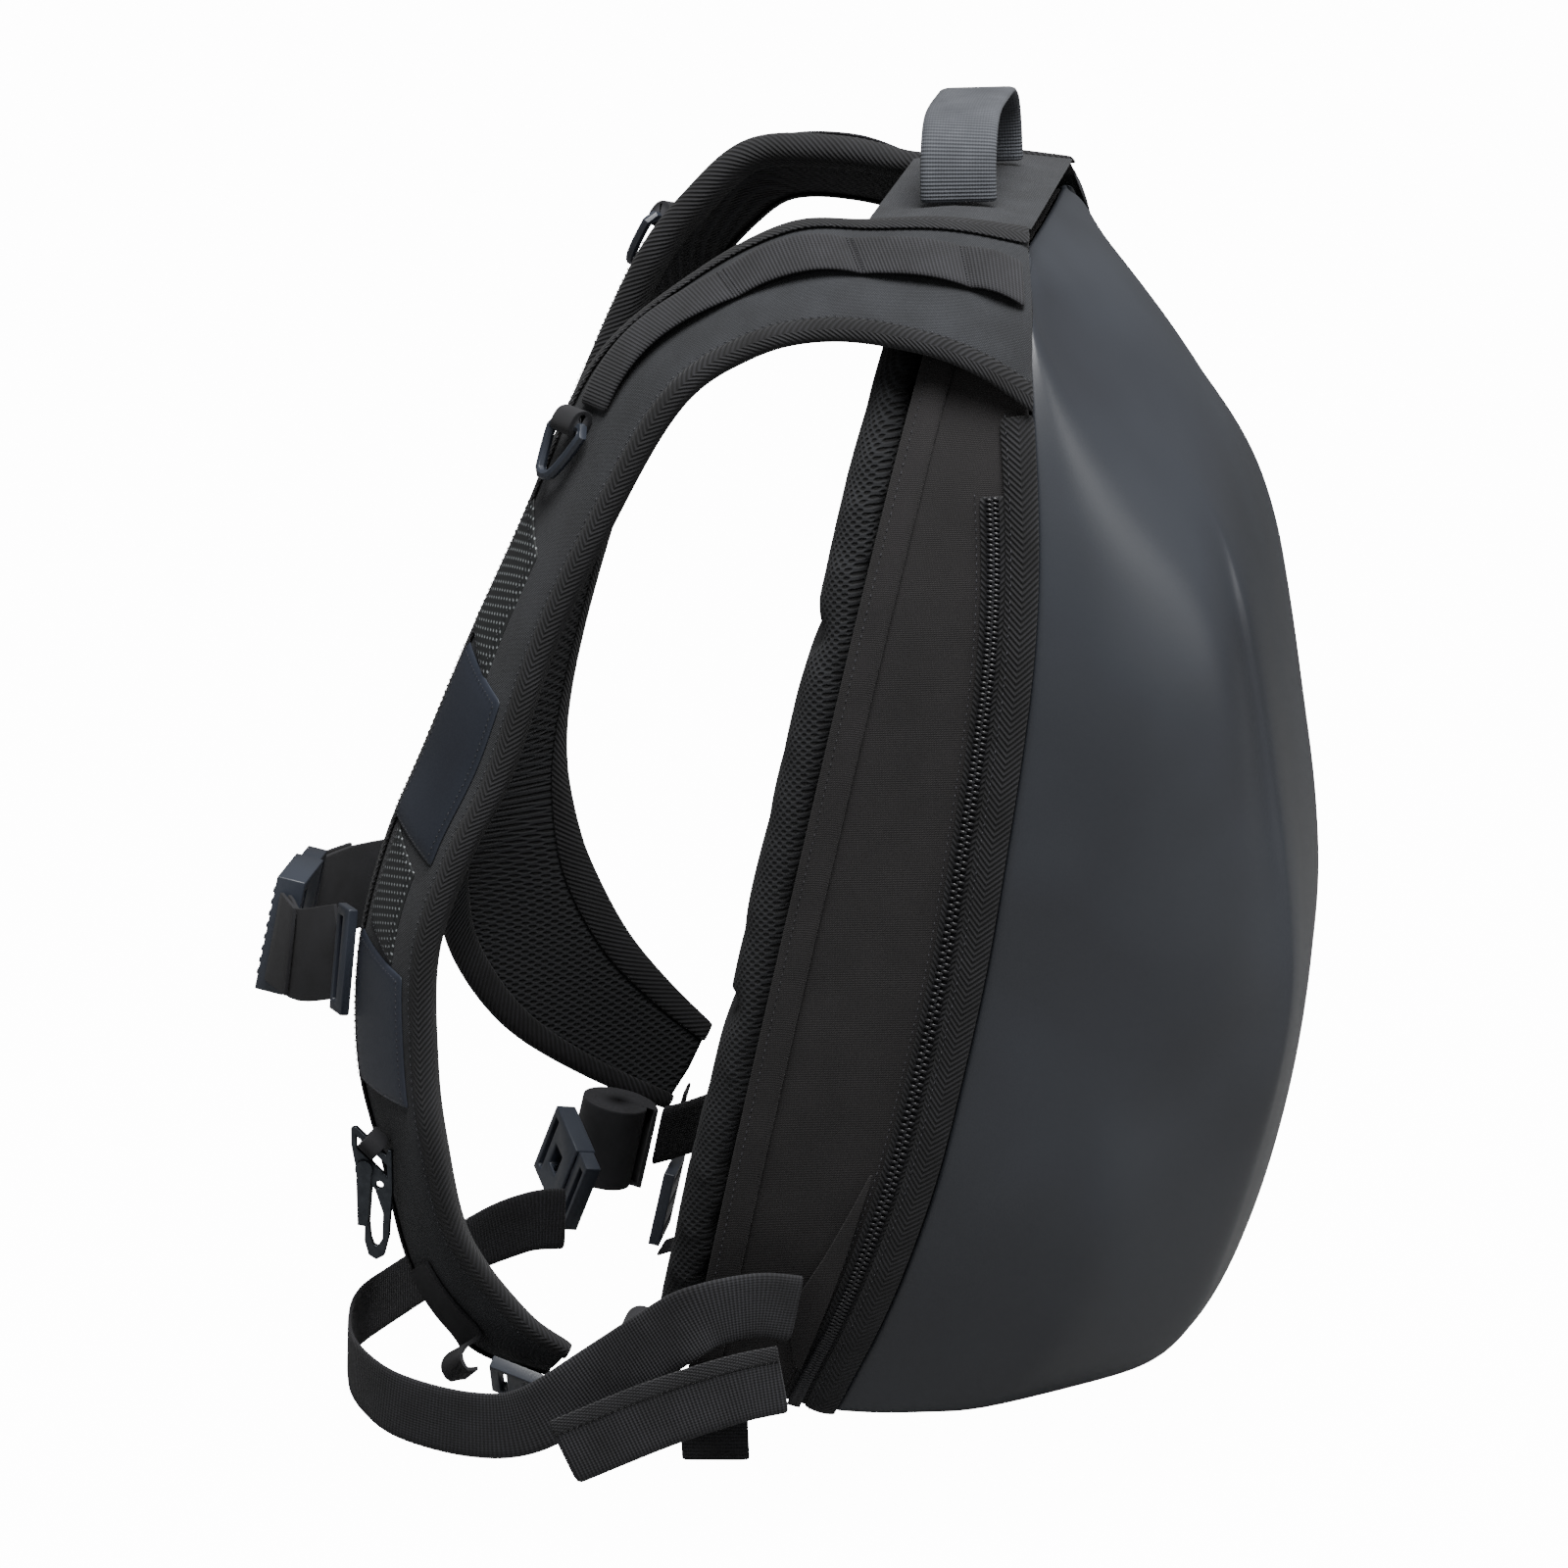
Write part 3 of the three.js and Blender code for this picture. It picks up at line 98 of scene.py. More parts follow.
# A section of the shell. The rim and the front are shares of the half width, depth and height; a
# front without a height lies on the level base. Crease, foot and edge are the folds between them:
# shares of the rim's half width and of the way to the front.
ShellRow = namedtuple("ShellRow", "rim front crease foot edge")
SHELL_ROWS = [
    ShellRow((0.7, 0.347, 0.0), (0.347, None), (0.9, 0.6), (0.62, 0.89), (0.48, 0.95)),
    ShellRow((0.775, 0.347, 0.0), (0.577, None), (0.9, 0.6), (0.62, 0.89), (0.48, 0.95)),
    ShellRow((0.825, 0.352, 0.013), (0.775, None), (0.9, 0.6), (0.62, 0.89), (0.48, 0.95)),
    ShellRow((0.863, 0.37, 0.051), (0.9, 0.072), (0.9, 0.6), (0.62, 0.89), (0.48, 0.95)),
    ShellRow((0.906, 0.392, 0.097), (0.964, 0.118), (0.9, 0.6), (0.62, 0.89), (0.48, 0.95)),
    ShellRow((0.944, 0.414, 0.16), (0.991, 0.185), (0.9, 0.6), (0.62, 0.89), (0.48, 0.95)),
    ShellRow((0.975, 0.432, 0.244), (1.0, 0.263), (0.9, 0.59), (0.62, 0.89), (0.49, 0.955)),
    ShellRow((0.994, 0.435, 0.337), (0.993, 0.347), (0.84, 0.6), (0.6, 0.91), (0.5, 0.97)),
    ShellRow((1.0, 0.432, 0.432), (0.968, 0.427), (0.74, 0.756), (0.56, 0.935), (0.5, 0.985)),
    ShellRow((1.0, 0.419, 0.526), (0.919, 0.509), (0.72, 0.795), (0.56, 0.93), (0.5, 0.985)),
    ShellRow((0.994, 0.405, 0.611), (0.856, 0.592), (0.725, 0.82), (0.56, 0.915), (0.5, 0.975)),
    ShellRow((0.981, 0.387, 0.686), (0.788, 0.676), (0.73, 0.83), (0.575, 0.9), (0.51, 0.965)),
    ShellRow((0.956, 0.36, 0.754), (0.721, 0.745), (0.74, 0.78), (0.585, 0.89), (0.53, 0.96)),
    ShellRow((0.919, 0.324, 0.817), (0.644, 0.806), (0.79, 0.6), (0.58, 0.85), (0.5, 0.92)),
    ShellRow((0.863, 0.284, 0.874), (0.518, 0.876), (0.85, 0.4), (0.64, 0.63), (0.52, 0.74)),
    ShellRow((0.775, 0.243, 0.926), (0.365, 0.938), (0.9, 0.2), (0.74, 0.4), (0.58, 0.56)),
    ShellRow((0.66, 0.209, 0.956), (0.255, 0.966), (0.95, 0.2), (0.88, 0.4), (0.8, 0.55)),
    ShellRow((0.5, 0.194, 0.975), (0.198, 0.979), (0.95, 0.2), (0.88, 0.4), (0.8, 0.55)),
]

# A place along a strap: its edge by the neck and by the arm, its thickness as a share of the pad,
# and its crown as a share of its own width.
StrapRow = namedtuple("StrapRow", "neck arm thick crown")
FLANK_ROWS = [
    StrapRow((0.54, -0.29, 0.998), (0.9, -0.43, 0.873), 0.22, 0.09),
    StrapRow((0.525, -0.068, 0.99), (0.885, -0.271, 0.893), 0.5, 0.08),
    StrapRow((0.505, 0.132, 0.972), (0.86, -0.099, 0.9), 0.8, 0.06),
]
LEFT_ROWS = [
    *FLANK_ROWS,
    StrapRow((0.475, 0.335, 0.952), (0.825, 0.115, 0.892), 1, 0.04),
    StrapRow((0.45, 0.559, 0.887), (0.812, 0.303, 0.866), 1, 0.04),
    StrapRow((0.438, 0.762, 0.795), (0.8, 0.47, 0.808), 1, 0.04),
    StrapRow((0.438, 0.852, 0.651), (0.787, 0.604, 0.677), 1, 0.04),
    StrapRow((0.45, 0.92, 0.548), (0.787, 0.669, 0.579), 1, 0.04),
    StrapRow((0.45, 0.981, 0.442), (0.812, 0.698, 0.473), 1, 0.04),
    StrapRow((0.45, 1.03, 0.357), (0.825, 0.76, 0.393), 1, 0.04),
    StrapRow((0.45, 1.04, 0.259), (0.838, 0.792, 0.31), 1, 0.04),
    StrapRow((0.487, 0.974, 0.162), (0.863, 0.735, 0.226), 1, 0.04),
    StrapRow((0.537, 0.847, 0.088), (0.912, 0.667, 0.163), 1, 0.04),
    StrapRow((0.625, 0.685, 0.003), (0.912, 0.545, 0.084), 0.9, 0.04),
    StrapRow((0.688, 0.485, -0.04), (0.925, 0.329, 0.03), 0.75, 0.04),
    StrapRow((0.713, 0.255, -0.042), (0.938, 0.19, 0.012), 0.55, 0.04),
]
RIGHT_ROWS = [
    *FLANK_ROWS,
    StrapRow((0.475, 0.335, 0.972), (0.812, 0.25, 0.913), 1, 0.04),
    StrapRow((0.45, 0.586, 0.952), (0.812, 0.455, 0.9), 1, 0.04),
    StrapRow((0.438, 0.728, 0.892), (0.812, 0.568, 0.866), 1, 0.04),
    StrapRow((0.438, 0.818, 0.829), (0.812, 0.655, 0.812), 1, 0.04),
    StrapRow((0.438, 0.885, 0.733), (0.812, 0.725, 0.724), 1, 0.04),
    StrapRow((0.438, 0.941, 0.632), (0.812, 0.77, 0.615), 1, 0.04),
    StrapRow((0.438, 0.99, 0.518), (0.812, 0.795, 0.493), 1, 0.04),
    StrapRow((0.45, 1.03, 0.412), (0.812, 0.79, 0.4), 1, 0.04),
    StrapRow((0.53, 1.04, 0.29), (0.812, 0.753, 0.338), 1, 0.04),
    StrapRow((0.63, 1.01, 0.2), (0.825, 0.672, 0.278), 1, 0.04),
    StrapRow((0.688, 0.93, 0.138), (0.838, 0.587, 0.236), 1, 0.04),
    StrapRow((0.725, 0.745, 0.083), (0.85, 0.462, 0.188), 0.9, 0.04),
    StrapRow((0.775, 0.487, 0.05), (0.863, 0.32, 0.15), 0.75, 0.04),
    StrapRow((0.8, 0.24, 0.035), (0.87, 0.17, 0.118), 0.55, 0.04),
]

# Free webbing: places of its centre line, each with the direction of its width.
WEBBING_RUNS = {
  "left_hip_belt": {
    "width": BELT_WIDTH,
    "rows": [
      [-0.99, -0.37, 0.108, 0, 0.05, 1],
      [-1.04, -0.26, 0.107, 0, 0.05, 1],
      [-1.082, -0.133, 0.09, 0, 0.1, 1],
      [-1.06, -0.027, 0.053, 0, 0.15, 1],
      [-1.02, 0.1, 0.004, 0, 0.18, 1],
      [-1.03, 0.25, -0.043, 0, 0.18, 1],
      [-1.025, 0.4, -0.06, 0, 0.2, 1],
      [-0.969, 0.593, -0.068, 0, 0.2, 1],
      [-0.875, 0.713, -0.068, 0, 0.22, 1],
      [-0.75, 0.785, -0.066, 0, 0.2, 1],
      [-0.562, 0.815, -0.061, 0, 0.15, 1],
      [-0.375, 0.76, -0.053, 0, 0.1, 1],
      [-0.125, 0.613, -0.026, 0, 0.05, 1],
      [-0.02, 0.48, -0.004, 0, 0.05, 1],
      [0.025, 0.38, 0.003, 0, 0.05, 1],
    ],
  },
  "right_hip_belt": {
    "width": BELT_WIDTH,
    "rows": [
      [0.99, -0.37, 0.108, 0, 0.05, 1],
      [1.04, -0.22, 0.1, 0, 0.05, 1],
      [1.05, -0.02, 0.07, 0, 0.1, 1],
      [0.95, 0.09, 0.045, 0, 0.1, 1],
      [0.8, 0.105, 0.037, 0, 0.05, 1],
      [0.66, 0.17, 0.035, 0, 0, 1],
      [0.56, 0.23, 0.034, 0, 0, 1],
    ],
  },
  "hip_tail": {
    "width": BELT_WIDTH,
    "rows": [
      [-1.05, -0.38, 0.052, 0, 0.3, 1],
      [-1.085, -0.26, 0.036, 0, 0.35, 1],
      [-1.115, -0.083, 0.002, 0, 0.5, 1],
      [-1.128, 0.133, -0.05, 0, 0.6, 1],
    ],
  },
  "hanging_flap": {
    "width": TAB_WIDTH + 8,
    "rows": [
      [-0.66, -0.18, -0.014, 0, 1, 0.1],
      [-0.66, -0.2, -0.05, 0, 1, 0.25],
      [-0.665, -0.23, -0.086, 0, 1, 0.35],
    ],
  },
  "left_lower_webbing": {
    "width": TAB_WIDTH,
    "rows": [
      [-0.78, -0.23, 0.012, 1, 0, 0],
      [-0.85, -0.2, -0.013, 1, 0, 0],
      [-0.87, -0.03, -0.022, 1, 0, 0],
      [-0.88, 0.06, -0.031, 1, 0, 0.05],
      [-0.885, 0.12, -0.036, 1, 0, 0.1],
    ],
  },
  "right_lower_webbing": {
    "width": TAB_WIDTH,
    "rows": [
      [0.78, -0.23, 0.012, 1, 0, 0],
      [0.8, -0.2, -0.013, 1, 0, 0],
      [0.81, 0.0, -0.04, 1, 0, 0],
      [0.81, 0.1, -0.085, 1, 0, 0],
      [0.815, 0.17, -0.103, 1, 0, 0],
    ],
  },
  "right_foot_webbing": {
    "width": TAB_WIDTH,
    "rows": [
      [0.825, 0.2, 0.055, 1, 0, 0.3],
      [0.82, 0.205, 0.02, 1, 0, 0.1],
      [0.815, 0.2, -0.012, 1, 0, 0],
    ],
  },
}

# A strap's cut: places across it, and off its outer face as shares of its thickness.
STRAP_SECTION = [
    [0.0, -0.3], [0.02, -0.12], [0.06, -0.03], [0.2, 0], [0.35, 0.02], [0.5, 0.03], [0.65, 0.02],
    [0.8, 0], [0.92, -0.05], [0.955, -0.14], [0.96, -0.28], [0.92, -0.5], [0.84, -0.86],
    [0.7, -0.98], [0.5, -1.03], [0.3, -1], [0.1, -0.92], [0.02, -0.72], [0.0, -0.5],
]

# %% [markdown]
# ## Helpers
# Places, smooth lines and meshes. A grid of places becomes a sheet with a UV map in metres, so a
# weave or rib drawn on it has its real pitch.

# %% Places and lines
def placed(p):
    y, z = p[1], p[2] - MIDDLE
    c, s = math.cos(LEAN), math.sin(LEAN)
    return Vector((p[0], y * c - z * s, y * s + z * c)) / 1000


def smooth_line(points):
    def at(place):
        place = max(0.0, min(len(points) - 1.0, place))
        i = min(int(place), len(points) - 2)
        w = place - i
        p1, p2 = points[i], points[i + 1]
        p0 = points[i - 1] if i else 2 * p1 - p2
        p3 = points[i + 2] if i + 2 < len(points) else 2 * p2 - p1
        t1, t2 = (p2 - p0) / 2, (p3 - p1) / 2
        ease = 3 * w**2 - 2 * w**3
        return (1 - ease) * p1 + ease * p2 + (w**3 - 2 * w**2 + w) * t1 + (w**3 - w**2) * t2
    return at


def steps(start, end, count):
    return [start + (end - start) * i / count for i in range(count + 1)]


def in_harness(x, y, z):
    return Vector((x * HALF_WIDTH, y * STRAP_REACH, z * PACK_HEIGHT))


# %% Meshes
def finish_piece(name, bm, material, nodes=(), body=None, smooth=True):
    mesh = bpy.data.meshes.new(name)
    bm.to_mesh(mesh)
    bm.free()
    for face in mesh.polygons:
        face.use_smooth = smooth
    piece = bpy.data.objects.new(name, mesh)
    bpy.context.scene.collection.objects.link(piece)
    mesh.materials.append(material)
    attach(piece, body or (BODY_OF[nodes[0]] if nodes else "pack"))
    if nodes:
        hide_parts(*nodes)
    return piece


def grid_mesh(rows, closed_across=False, closed_along=False, caps=False):
    """A sheet through rows of places in millimetres, with a UV map: metres across and along."""
    bm = bmesh.new()
    uv = bm.loops.layers.uv.new("UVMap")
    verts = [[bm.verts.new(placed(p)) for p in row] for row in rows]
    middle = len(rows[0]) // 2
    along = [0.0]
    for a, b in zip(verts, verts[1:]):
        along.append(along[-1] + (b[middle].co - a[middle].co).length)
    across = [[0.0] for _ in rows]
    for i, row in enumerate(verts):
        for a, b in zip(row, row[1:]):
            across[i].append(across[i][-1] + (b.co - a.co).length)
    last_row = len(rows) if closed_along else len(rows) - 1
    last = len(rows[0]) if closed_across else len(rows[0]) - 1
    for i in range(last_row):
        for j in range(last):
            k, m = (j + 1) % len(rows[0]), (i + 1) % len(rows)
            face = bm.faces.new((verts[i][j], verts[i][k], verts[m][k], verts[m][j]))
            places = ((i, j), (i, j + 1), (i + 1, j + 1), (i + 1, j))
            for loop, (r, c) in zip(face.loops, places):
                u = across[min(r, len(rows) - 1)][min(c, len(rows[0]) - 1)]
                v = along[min(r, len(rows) - 1)]
                loop[uv].uv = (u, v)
    if caps:
        bm.faces.new(verts[0])
        bm.faces.new(verts[-1][::-1])
    bmesh.ops.recalc_face_normals(bm, faces=bm.faces)
    return bm


def thicken(piece, thickness, offset=0.0, levels=1):
    wall = piece.modifiers.new("wall", "SOLIDIFY")
    wall.thickness = thickness / 1000
    wall.offset = offset
    if levels:
        soften(piece, levels)
    return piece


def soften(piece, levels=1):
    surface = piece.modifiers.new("surface", "SUBSURF")
    surface.levels = levels
    surface.render_levels = levels
    return piece


def copy_of(node, material, bevel=0.4, levels=0):
    """A finer copy of a solid: coplanar triangles joined, its edges rounded."""
    bm = bmesh.new()
    bm.from_mesh(frame["nodes"][node].data)
    bmesh.ops.remove_doubles(bm, verts=bm.verts, dist=1e-5)
    bmesh.ops.dissolve_limit(bm, angle_limit=math.radians(0.5), verts=bm.verts, edges=bm.edges)
    bmesh.ops.join_triangles(
        bm, faces=bm.faces, angle_face_threshold=0.6, angle_shape_threshold=1.2,
    )
    bmesh.ops.recalc_face_normals(bm, faces=bm.faces)
    piece = finish_piece(node + "_piece", bm, material, (node,))
    if bevel:
        edge = piece.modifiers.new("edge", "BEVEL")
        edge.width = bevel / 1000
        edge.segments = 3
        edge.limit_method = "ANGLE"
        edge.angle_limit = math.radians(32)
        edge.harden_normals = False
    if levels:
        soften(piece, levels)
    return piece


def stitches(name, line, up, pitch=3.2, length=2.3, width=0.55, material=None, body="pack"):
    """A row of thread stitches along places in millimetres, each a small tapered bead."""
    bm = bmesh.new()
    run = 0.0
    for (a, b), n in zip(zip(line, line[1:]), up):
        span = (b - a).length
        while run < span:
            at = a.lerp(b, run / span) + n * 0.25
            way = (b - a).normalized()
            side = way.cross(n).normalized()
            ends = [bm.verts.new(placed(at + way * (s * length / 2))) for s in (-1, 1)]
            ring = [
                bm.verts.new(placed(at + side * (x * width / 2) + n * (z * width / 2)))
                for x, z in ((1, 0), (0, 1), (-1, 0), (0, -1))
            ]
            for p, q in zip(ring, ring[1:] + ring[:1]):
                bm.faces.new((ends[0], q, p))
                bm.faces.new((ends[1], p, q))
            run += pitch
        run -= span
    return finish_piece(name, bm, material, body=body)


# %% [markdown]
# ## Materials
# Each one is procedural. Bands read their UV map in metres; moulded pieces, pads and cloth read
# Object coordinates. Rib and mesh pitches are close to real ones. A real thread of these cloths is
# about 0.5 mm, which is too fine to show, so their weave is drawn at 0.9 mm.

# %% Node helpers
def linear(code):
    parts = [int(code[i:i + 2], 16) / 255 for i in (1, 3, 5)]
    return [c / 12.92 if c <= 0.04045 else ((c + 0.055) / 1.055) ** 2.4 for c in parts] + [1]


class Tree:
    """A material's nodes, made one call each; a value may be a number, a colour or a socket."""

    def __init__(self, name):
        self.material = bpy.data.materials.new(name)
        self.material.use_nodes = True
        self.nodes = self.material.node_tree.nodes
        self.links = self.material.node_tree.links
        self.shader = self.nodes["Principled BSDF"]

    def add(self, kind, values=(), out=0, **settings):
        node = self.nodes.new(kind)
        for key, value in settings.items():
            setattr(node, key, value)
        for key, value in dict(values).items():
            self.put(node.inputs[key], value)
        return node.outputs[out]

    def put(self, socket, value):
        if isinstance(value, bpy.types.NodeSocket):
            self.links.new(value, socket)
        else:
            socket.default_value = value

    def math(self, operation, a, b=0.0):
        return self.add("ShaderNodeMath", {0: a, 1: b}, operation=operation)

    def wave(self, place, pitch_mm):
        """A sine of a coordinate in metres, from 0 to 1."""
        turns = self.math("MULTIPLY", place, 2 * math.pi * 1000 / pitch_mm)
        return self.math("ADD", self.math("MULTIPLY", self.math("SINE", turns), 0.5), 0.5)

    def places(self, kind="Object"):
        coordinates = self.add("ShaderNodeTexCoord", out={"Object": 3, "UV": 2}[kind])
        parts = self.nodes.new("ShaderNodeSeparateXYZ")
        self.links.new(coordinates, parts.inputs[0])
        return parts.outputs[0], parts.outputs[1], parts.outputs[2]

    def noise(self, size_mm, detail=3):
        vector = self.add("ShaderNodeTexCoord", out=3)
        return self.add(
            "ShaderNodeTexNoise", {"Vector": vector, "Scale": 1000 / size_mm, "Detail": detail},
        )

    def mix(self, share, a, b):
        return self.add("ShaderNodeMix", {0: share, 6: a, 7: b}, out=2, data_type="RGBA")

    def ramp(self, value, low, high):
        return self.add(
            "ShaderNodeMapRange", {0: value, 1: low, 2: high, 3: 0.0, 4: 1.0}, clamp=True,
        )

    def done(self, colour, roughness, height, depth_mm=0.1, metallic=0.0, sheen=0.0):
        self.put(self.shader.inputs["Base Color"], colour)
        self.put(self.shader.inputs["Roughness"], roughness)
        self.put(self.shader.inputs["Metallic"], metallic)
        self.put(self.shader.inputs["Sheen Weight"], sheen)
        bump = {"Height": height, "Distance": depth_mm / 1000, "Strength": 1.0}
        self.put(self.shader.inputs["Normal"], self.add("ShaderNodeBump", bump))
        return self.material


# %% Material builders
def woven(name, dark, light, pitch_mm, depth_mm=0.15):
    """Plain weave: threads both ways, a little paler where the cloth is worn."""
    t = Tree(name)
    x, y, z = t.places()
    first, second = t.math("ADD", x, z), t.math("ADD", y, z)
    threads = t.math("MULTIPLY", t.wave(first, pitch_mm), t.wave(second, pitch_mm))
    worn = t.ramp(t.noise(22), 0.35, 0.75)
    shade = t.math("ADD", t.math("MULTIPLY", threads, 0.7), t.math("MULTIPLY", worn, 0.3))
    colour = t.mix(shade, linear(dark), linear(light))
    return t.done(colour, 0.9, threads, depth_mm, sheen=0.06)


def ribbed(name, dark, light, pitch_mm=1.9, depth_mm=0.35):
    """Webbing: ribs across its width and a fine thread along it."""
    t = Tree(name)
    x, y, _ = t.places("UV")
    ribs = t.wave(y, pitch_mm)
    threads = t.wave(x, 1.1)
    height = t.math("ADD", t.math("MULTIPLY", ribs, 0.75), t.math("MULTIPLY", threads, 0.25))
    shade = t.math("MULTIPLY", height, t.ramp(t.noise(14), 0.0, 0.7))
    return t.done(t.mix(shade, linear(dark), linear(light)), 0.86, height, depth_mm, sheen=0.05)


def twill(name, dark, light, pitch_mm=1.7):
    """Herringbone tape: slanted ribs that turn at the middle of its width."""
    t = Tree(name)
    x, y, _ = t.places("UV")
    folded = t.math("ABSOLUTE", t.math("SUBTRACT", x, 0.006))
    ribs = t.wave(t.math("ADD", folded, y), pitch_mm)
    shade = t.math("MULTIPLY", ribs, t.ramp(t.noise(18), 0.1, 0.8))
    return t.done(t.mix(shade, linear(dark), linear(light)), 0.9, ribs, 0.4, sheen=0.05)


def air_mesh(name):
    """Spacer mesh: rows of round holes, each row half a step along."""
    t = Tree(name)
    x, y, z = t.places()
    across = t.math("ADD", x, y)
    holes = t.math("MULTIPLY", t.wave(across, 3.6), t.wave(z, 3.2))
    second = t.math(
        "MULTIPLY",
        t.wave(t.math("ADD", across, 0.0018), 3.6),
        t.wave(t.math("ADD", z, 0.0016), 3.2),
    )
    threads = t.math("SUBTRACT", 1.0, t.math("MAXIMUM", holes, second))
    shade = t.ramp(threads, 0.15, 0.7)
    return t.done(t.mix(shade, linear("#050506"), linear("#222326")), 0.95, shade, 0.9, sheen=0.02)


def moulded(name, colour, light, roughness, grain_mm=0.5, depth_mm=0.03):
    """Moulded plastic: a fine grain, slow changes of tone and a little unevenness in its sheen."""
    t = Tree(name)
    grain = t.noise(grain_mm, 2)
    slow = t.noise(90, 2)
    shine = t.math("ADD", t.math("MULTIPLY", slow, 0.12), roughness - 0.06)
    tone = t.mix(t.ramp(slow, 0.3, 0.7), linear(colour), linear(light))
    return t.done(tone, shine, grain, depth_mm)


def printed(name):
    """Black overlay with staggered rows of pale reflective dashes."""
    t = Tree(name)
    x, y, _ = t.places("UV")
    lane_mm, step_mm = 2.6, 3.4
    row = t.math("FLOOR", t.math("MULTIPLY", x, 1000 / lane_mm))
    shift = t.math("MULTIPLY", t.math("MODULO", row, 2.0), 0.5)
    place = t.math("FRACT", t.math("ADD", t.math("MULTIPLY", y, 1000 / step_mm), shift))
    lane = t.math("FRACT", t.math("MULTIPLY", x, 1000 / lane_mm))
    inside = t.math("LESS_THAN", t.math("ABSOLUTE", t.math("SUBTRACT", place, 0.5)), 0.13)
    narrow = t.math("LESS_THAN", t.math("ABSOLUTE", t.math("SUBTRACT", lane, 0.5)), 0.2)
    dots = t.math("MULTIPLY", inside, narrow)
    colour = t.mix(dots, linear("#1f2122"), linear("#8d9294"))
    return t.done(colour, 0.6, t.noise(1.2), 0.08)


# %% [markdown]
# What gives each finish its look: the shell is moulded plastic with a satin grain; the binding is a
# herringbone tape; the body is coated polyester, nearly black; the straps are a paler nylon; webbing
# shows cross ribs; the patches are smooth leather; the hardware is acetal with a soft gleam; the
# hook is blackened steel; the fastening strip is a matt pile; the zip's coil is shiny nylon.

# %% Materials
SHELL = moulded("shell_moulded_satin", "#2b2d32", "#33363c", 0.42, 0.7, 0.02)
TWILL = twill("twill_binding_tape", "#060607", "#27272b", 2.4)
BODY = woven("coated_polyester", "#151314", "#2c292a", 0.9)
NYLON = woven("strap_nylon", "#17181b", "#3b3d42", 0.9, 0.22)
MESH = air_mesh("air_mesh_over_foam")
RIBBED = ribbed("ribbed_webbing", "#0d0d0f", "#2f2f34", 1.5)
GREY_RIBBED = ribbed("handle_webbing", "#303237", "#5c5f65", 1.4, 0.3)
LEATHER = moulded("smooth_leather", "#20242d", "#303541", 0.5, 1.1, 0.06)
PRINT = printed("reflective_print")
PLASTIC = moulded("acetal_plastic", "#23262d", "#3a3f49", 0.36)
METAL_TREE = Tree("gunmetal_plate")
METAL = METAL_TREE.done(
    METAL_TREE.mix(METAL_TREE.noise(3), linear("#303338"), linear("#53575c")),
    0.35, METAL_TREE.noise(0.8), 0.02, metallic=0.9,
)
FUZZ = woven("fastening_pile", "#0e0e10", "#3a3a3e", 1.3, 0.7)
THREAD = moulded("bonded_thread", "#1c1c1f", "#34343a", 0.6, 0.4, 0.05)
COIL = moulded("nylon_coil", "#0d0d0f", "#26262a", 0.35, 0.6, 0.02)
print("materials:", len(bpy.data.materials))

# %% [markdown]
# ## Shell
# The moulded shell is drawn through its sections, with three steps between each two rows and
# columns, so the side panel flows into the raised spine by soft folds.

# %% Shell
SHELL_WALL = 3
SIDE_BULGE = 0.035  # how far the side panel swells between the rim and the crease
BASE_START = 0.347  # depth at which the level base begins
DENSER = 4  # new rows and columns for each one of the table


def rim_point(row):
    x, y, z = row.rim
    return Vector((x * HALF_WIDTH, -y * PACK_DEPTH, z * PACK_HEIGHT))


def section_places(row):
    crease, foot, edge = row.crease, row.foot, row.edge
    side = [
        (1 + (crease[0] - 1) * s + SIDE_BULGE * math.sin(math.pi * s),
         crease[1] * s + SIDE_BULGE * math.sin(math.pi * s))
        for s in (1 / 3, 2 / 3)
    ]
    crown = edge[1] + (1 - edge[1]) * 0.75
    return [(1, 0), *side, crease, foot, edge, (edge[0] / 2, crown), (0, 1)]


def shell_section(row):
    rim = rim_point(row)
    front_y = -row.front[0] * PACK_DEPTH
    level = -(front_y + BASE_START * PACK_DEPTH) * math.tan(LEAN)
    front_z = level if row.front[1] is None else row.front[1] * PACK_HEIGHT
    half = [
        Vector((rim.x * a, rim.y + (front_y - rim.y) * f, rim.z + (front_z - rim.z) * f))
        for a, f in section_places(row)
    ]
    return [Vector((-p.x, p.y, p.z)) for p in half[:-1]] + half[::-1]


def dense(rows, factor):
    columns = [smooth_line(list(column)) for column in zip(*rows)]
    places = steps(0, len(rows) - 1, (len(rows) - 1) * factor)
    return [[column(t) for column in columns] for t in places]


def transposed(rows):
    return [list(row) for row in zip(*rows)]


shell_rows = dense([shell_section(row) for row in SHELL_ROWS], DENSER)
shell_rows = transposed(dense(transposed(shell_rows), DENSER))
shell = finish_piece("shell_moulding", grid_mesh(shell_rows), SHELL, ("shell",))
thicken(shell, SHELL_WALL, -1, 1)
print("shell:", len(shell_rows), "sections of", len(shell_rows[0]), "places")

# %% [markdown]
# ## Fabric body
# Bands that follow the rim: the walls, the covered strip at the rear seam, the twill tape and zip.

# %% Rim and body bands
MID_HEIGHT = 0.45 * PACK_HEIGHT  # the bands face away from here
REAR_TAPER = 0.05  # the body narrows by this share towards the back panel
REAR_DROP = 0.083  # and its top drops by this share of the height
rim = [rim_point(row) for row in SHELL_ROWS]
rim_loop = rim + [Vector((0, rim[-1].y, rim[-1].z))] + [Vector((-p.x, p.y, p.z)) for p in rim[::-1]]
rim_loop.append(Vector((0, rim[0].y, rim[0].z)))


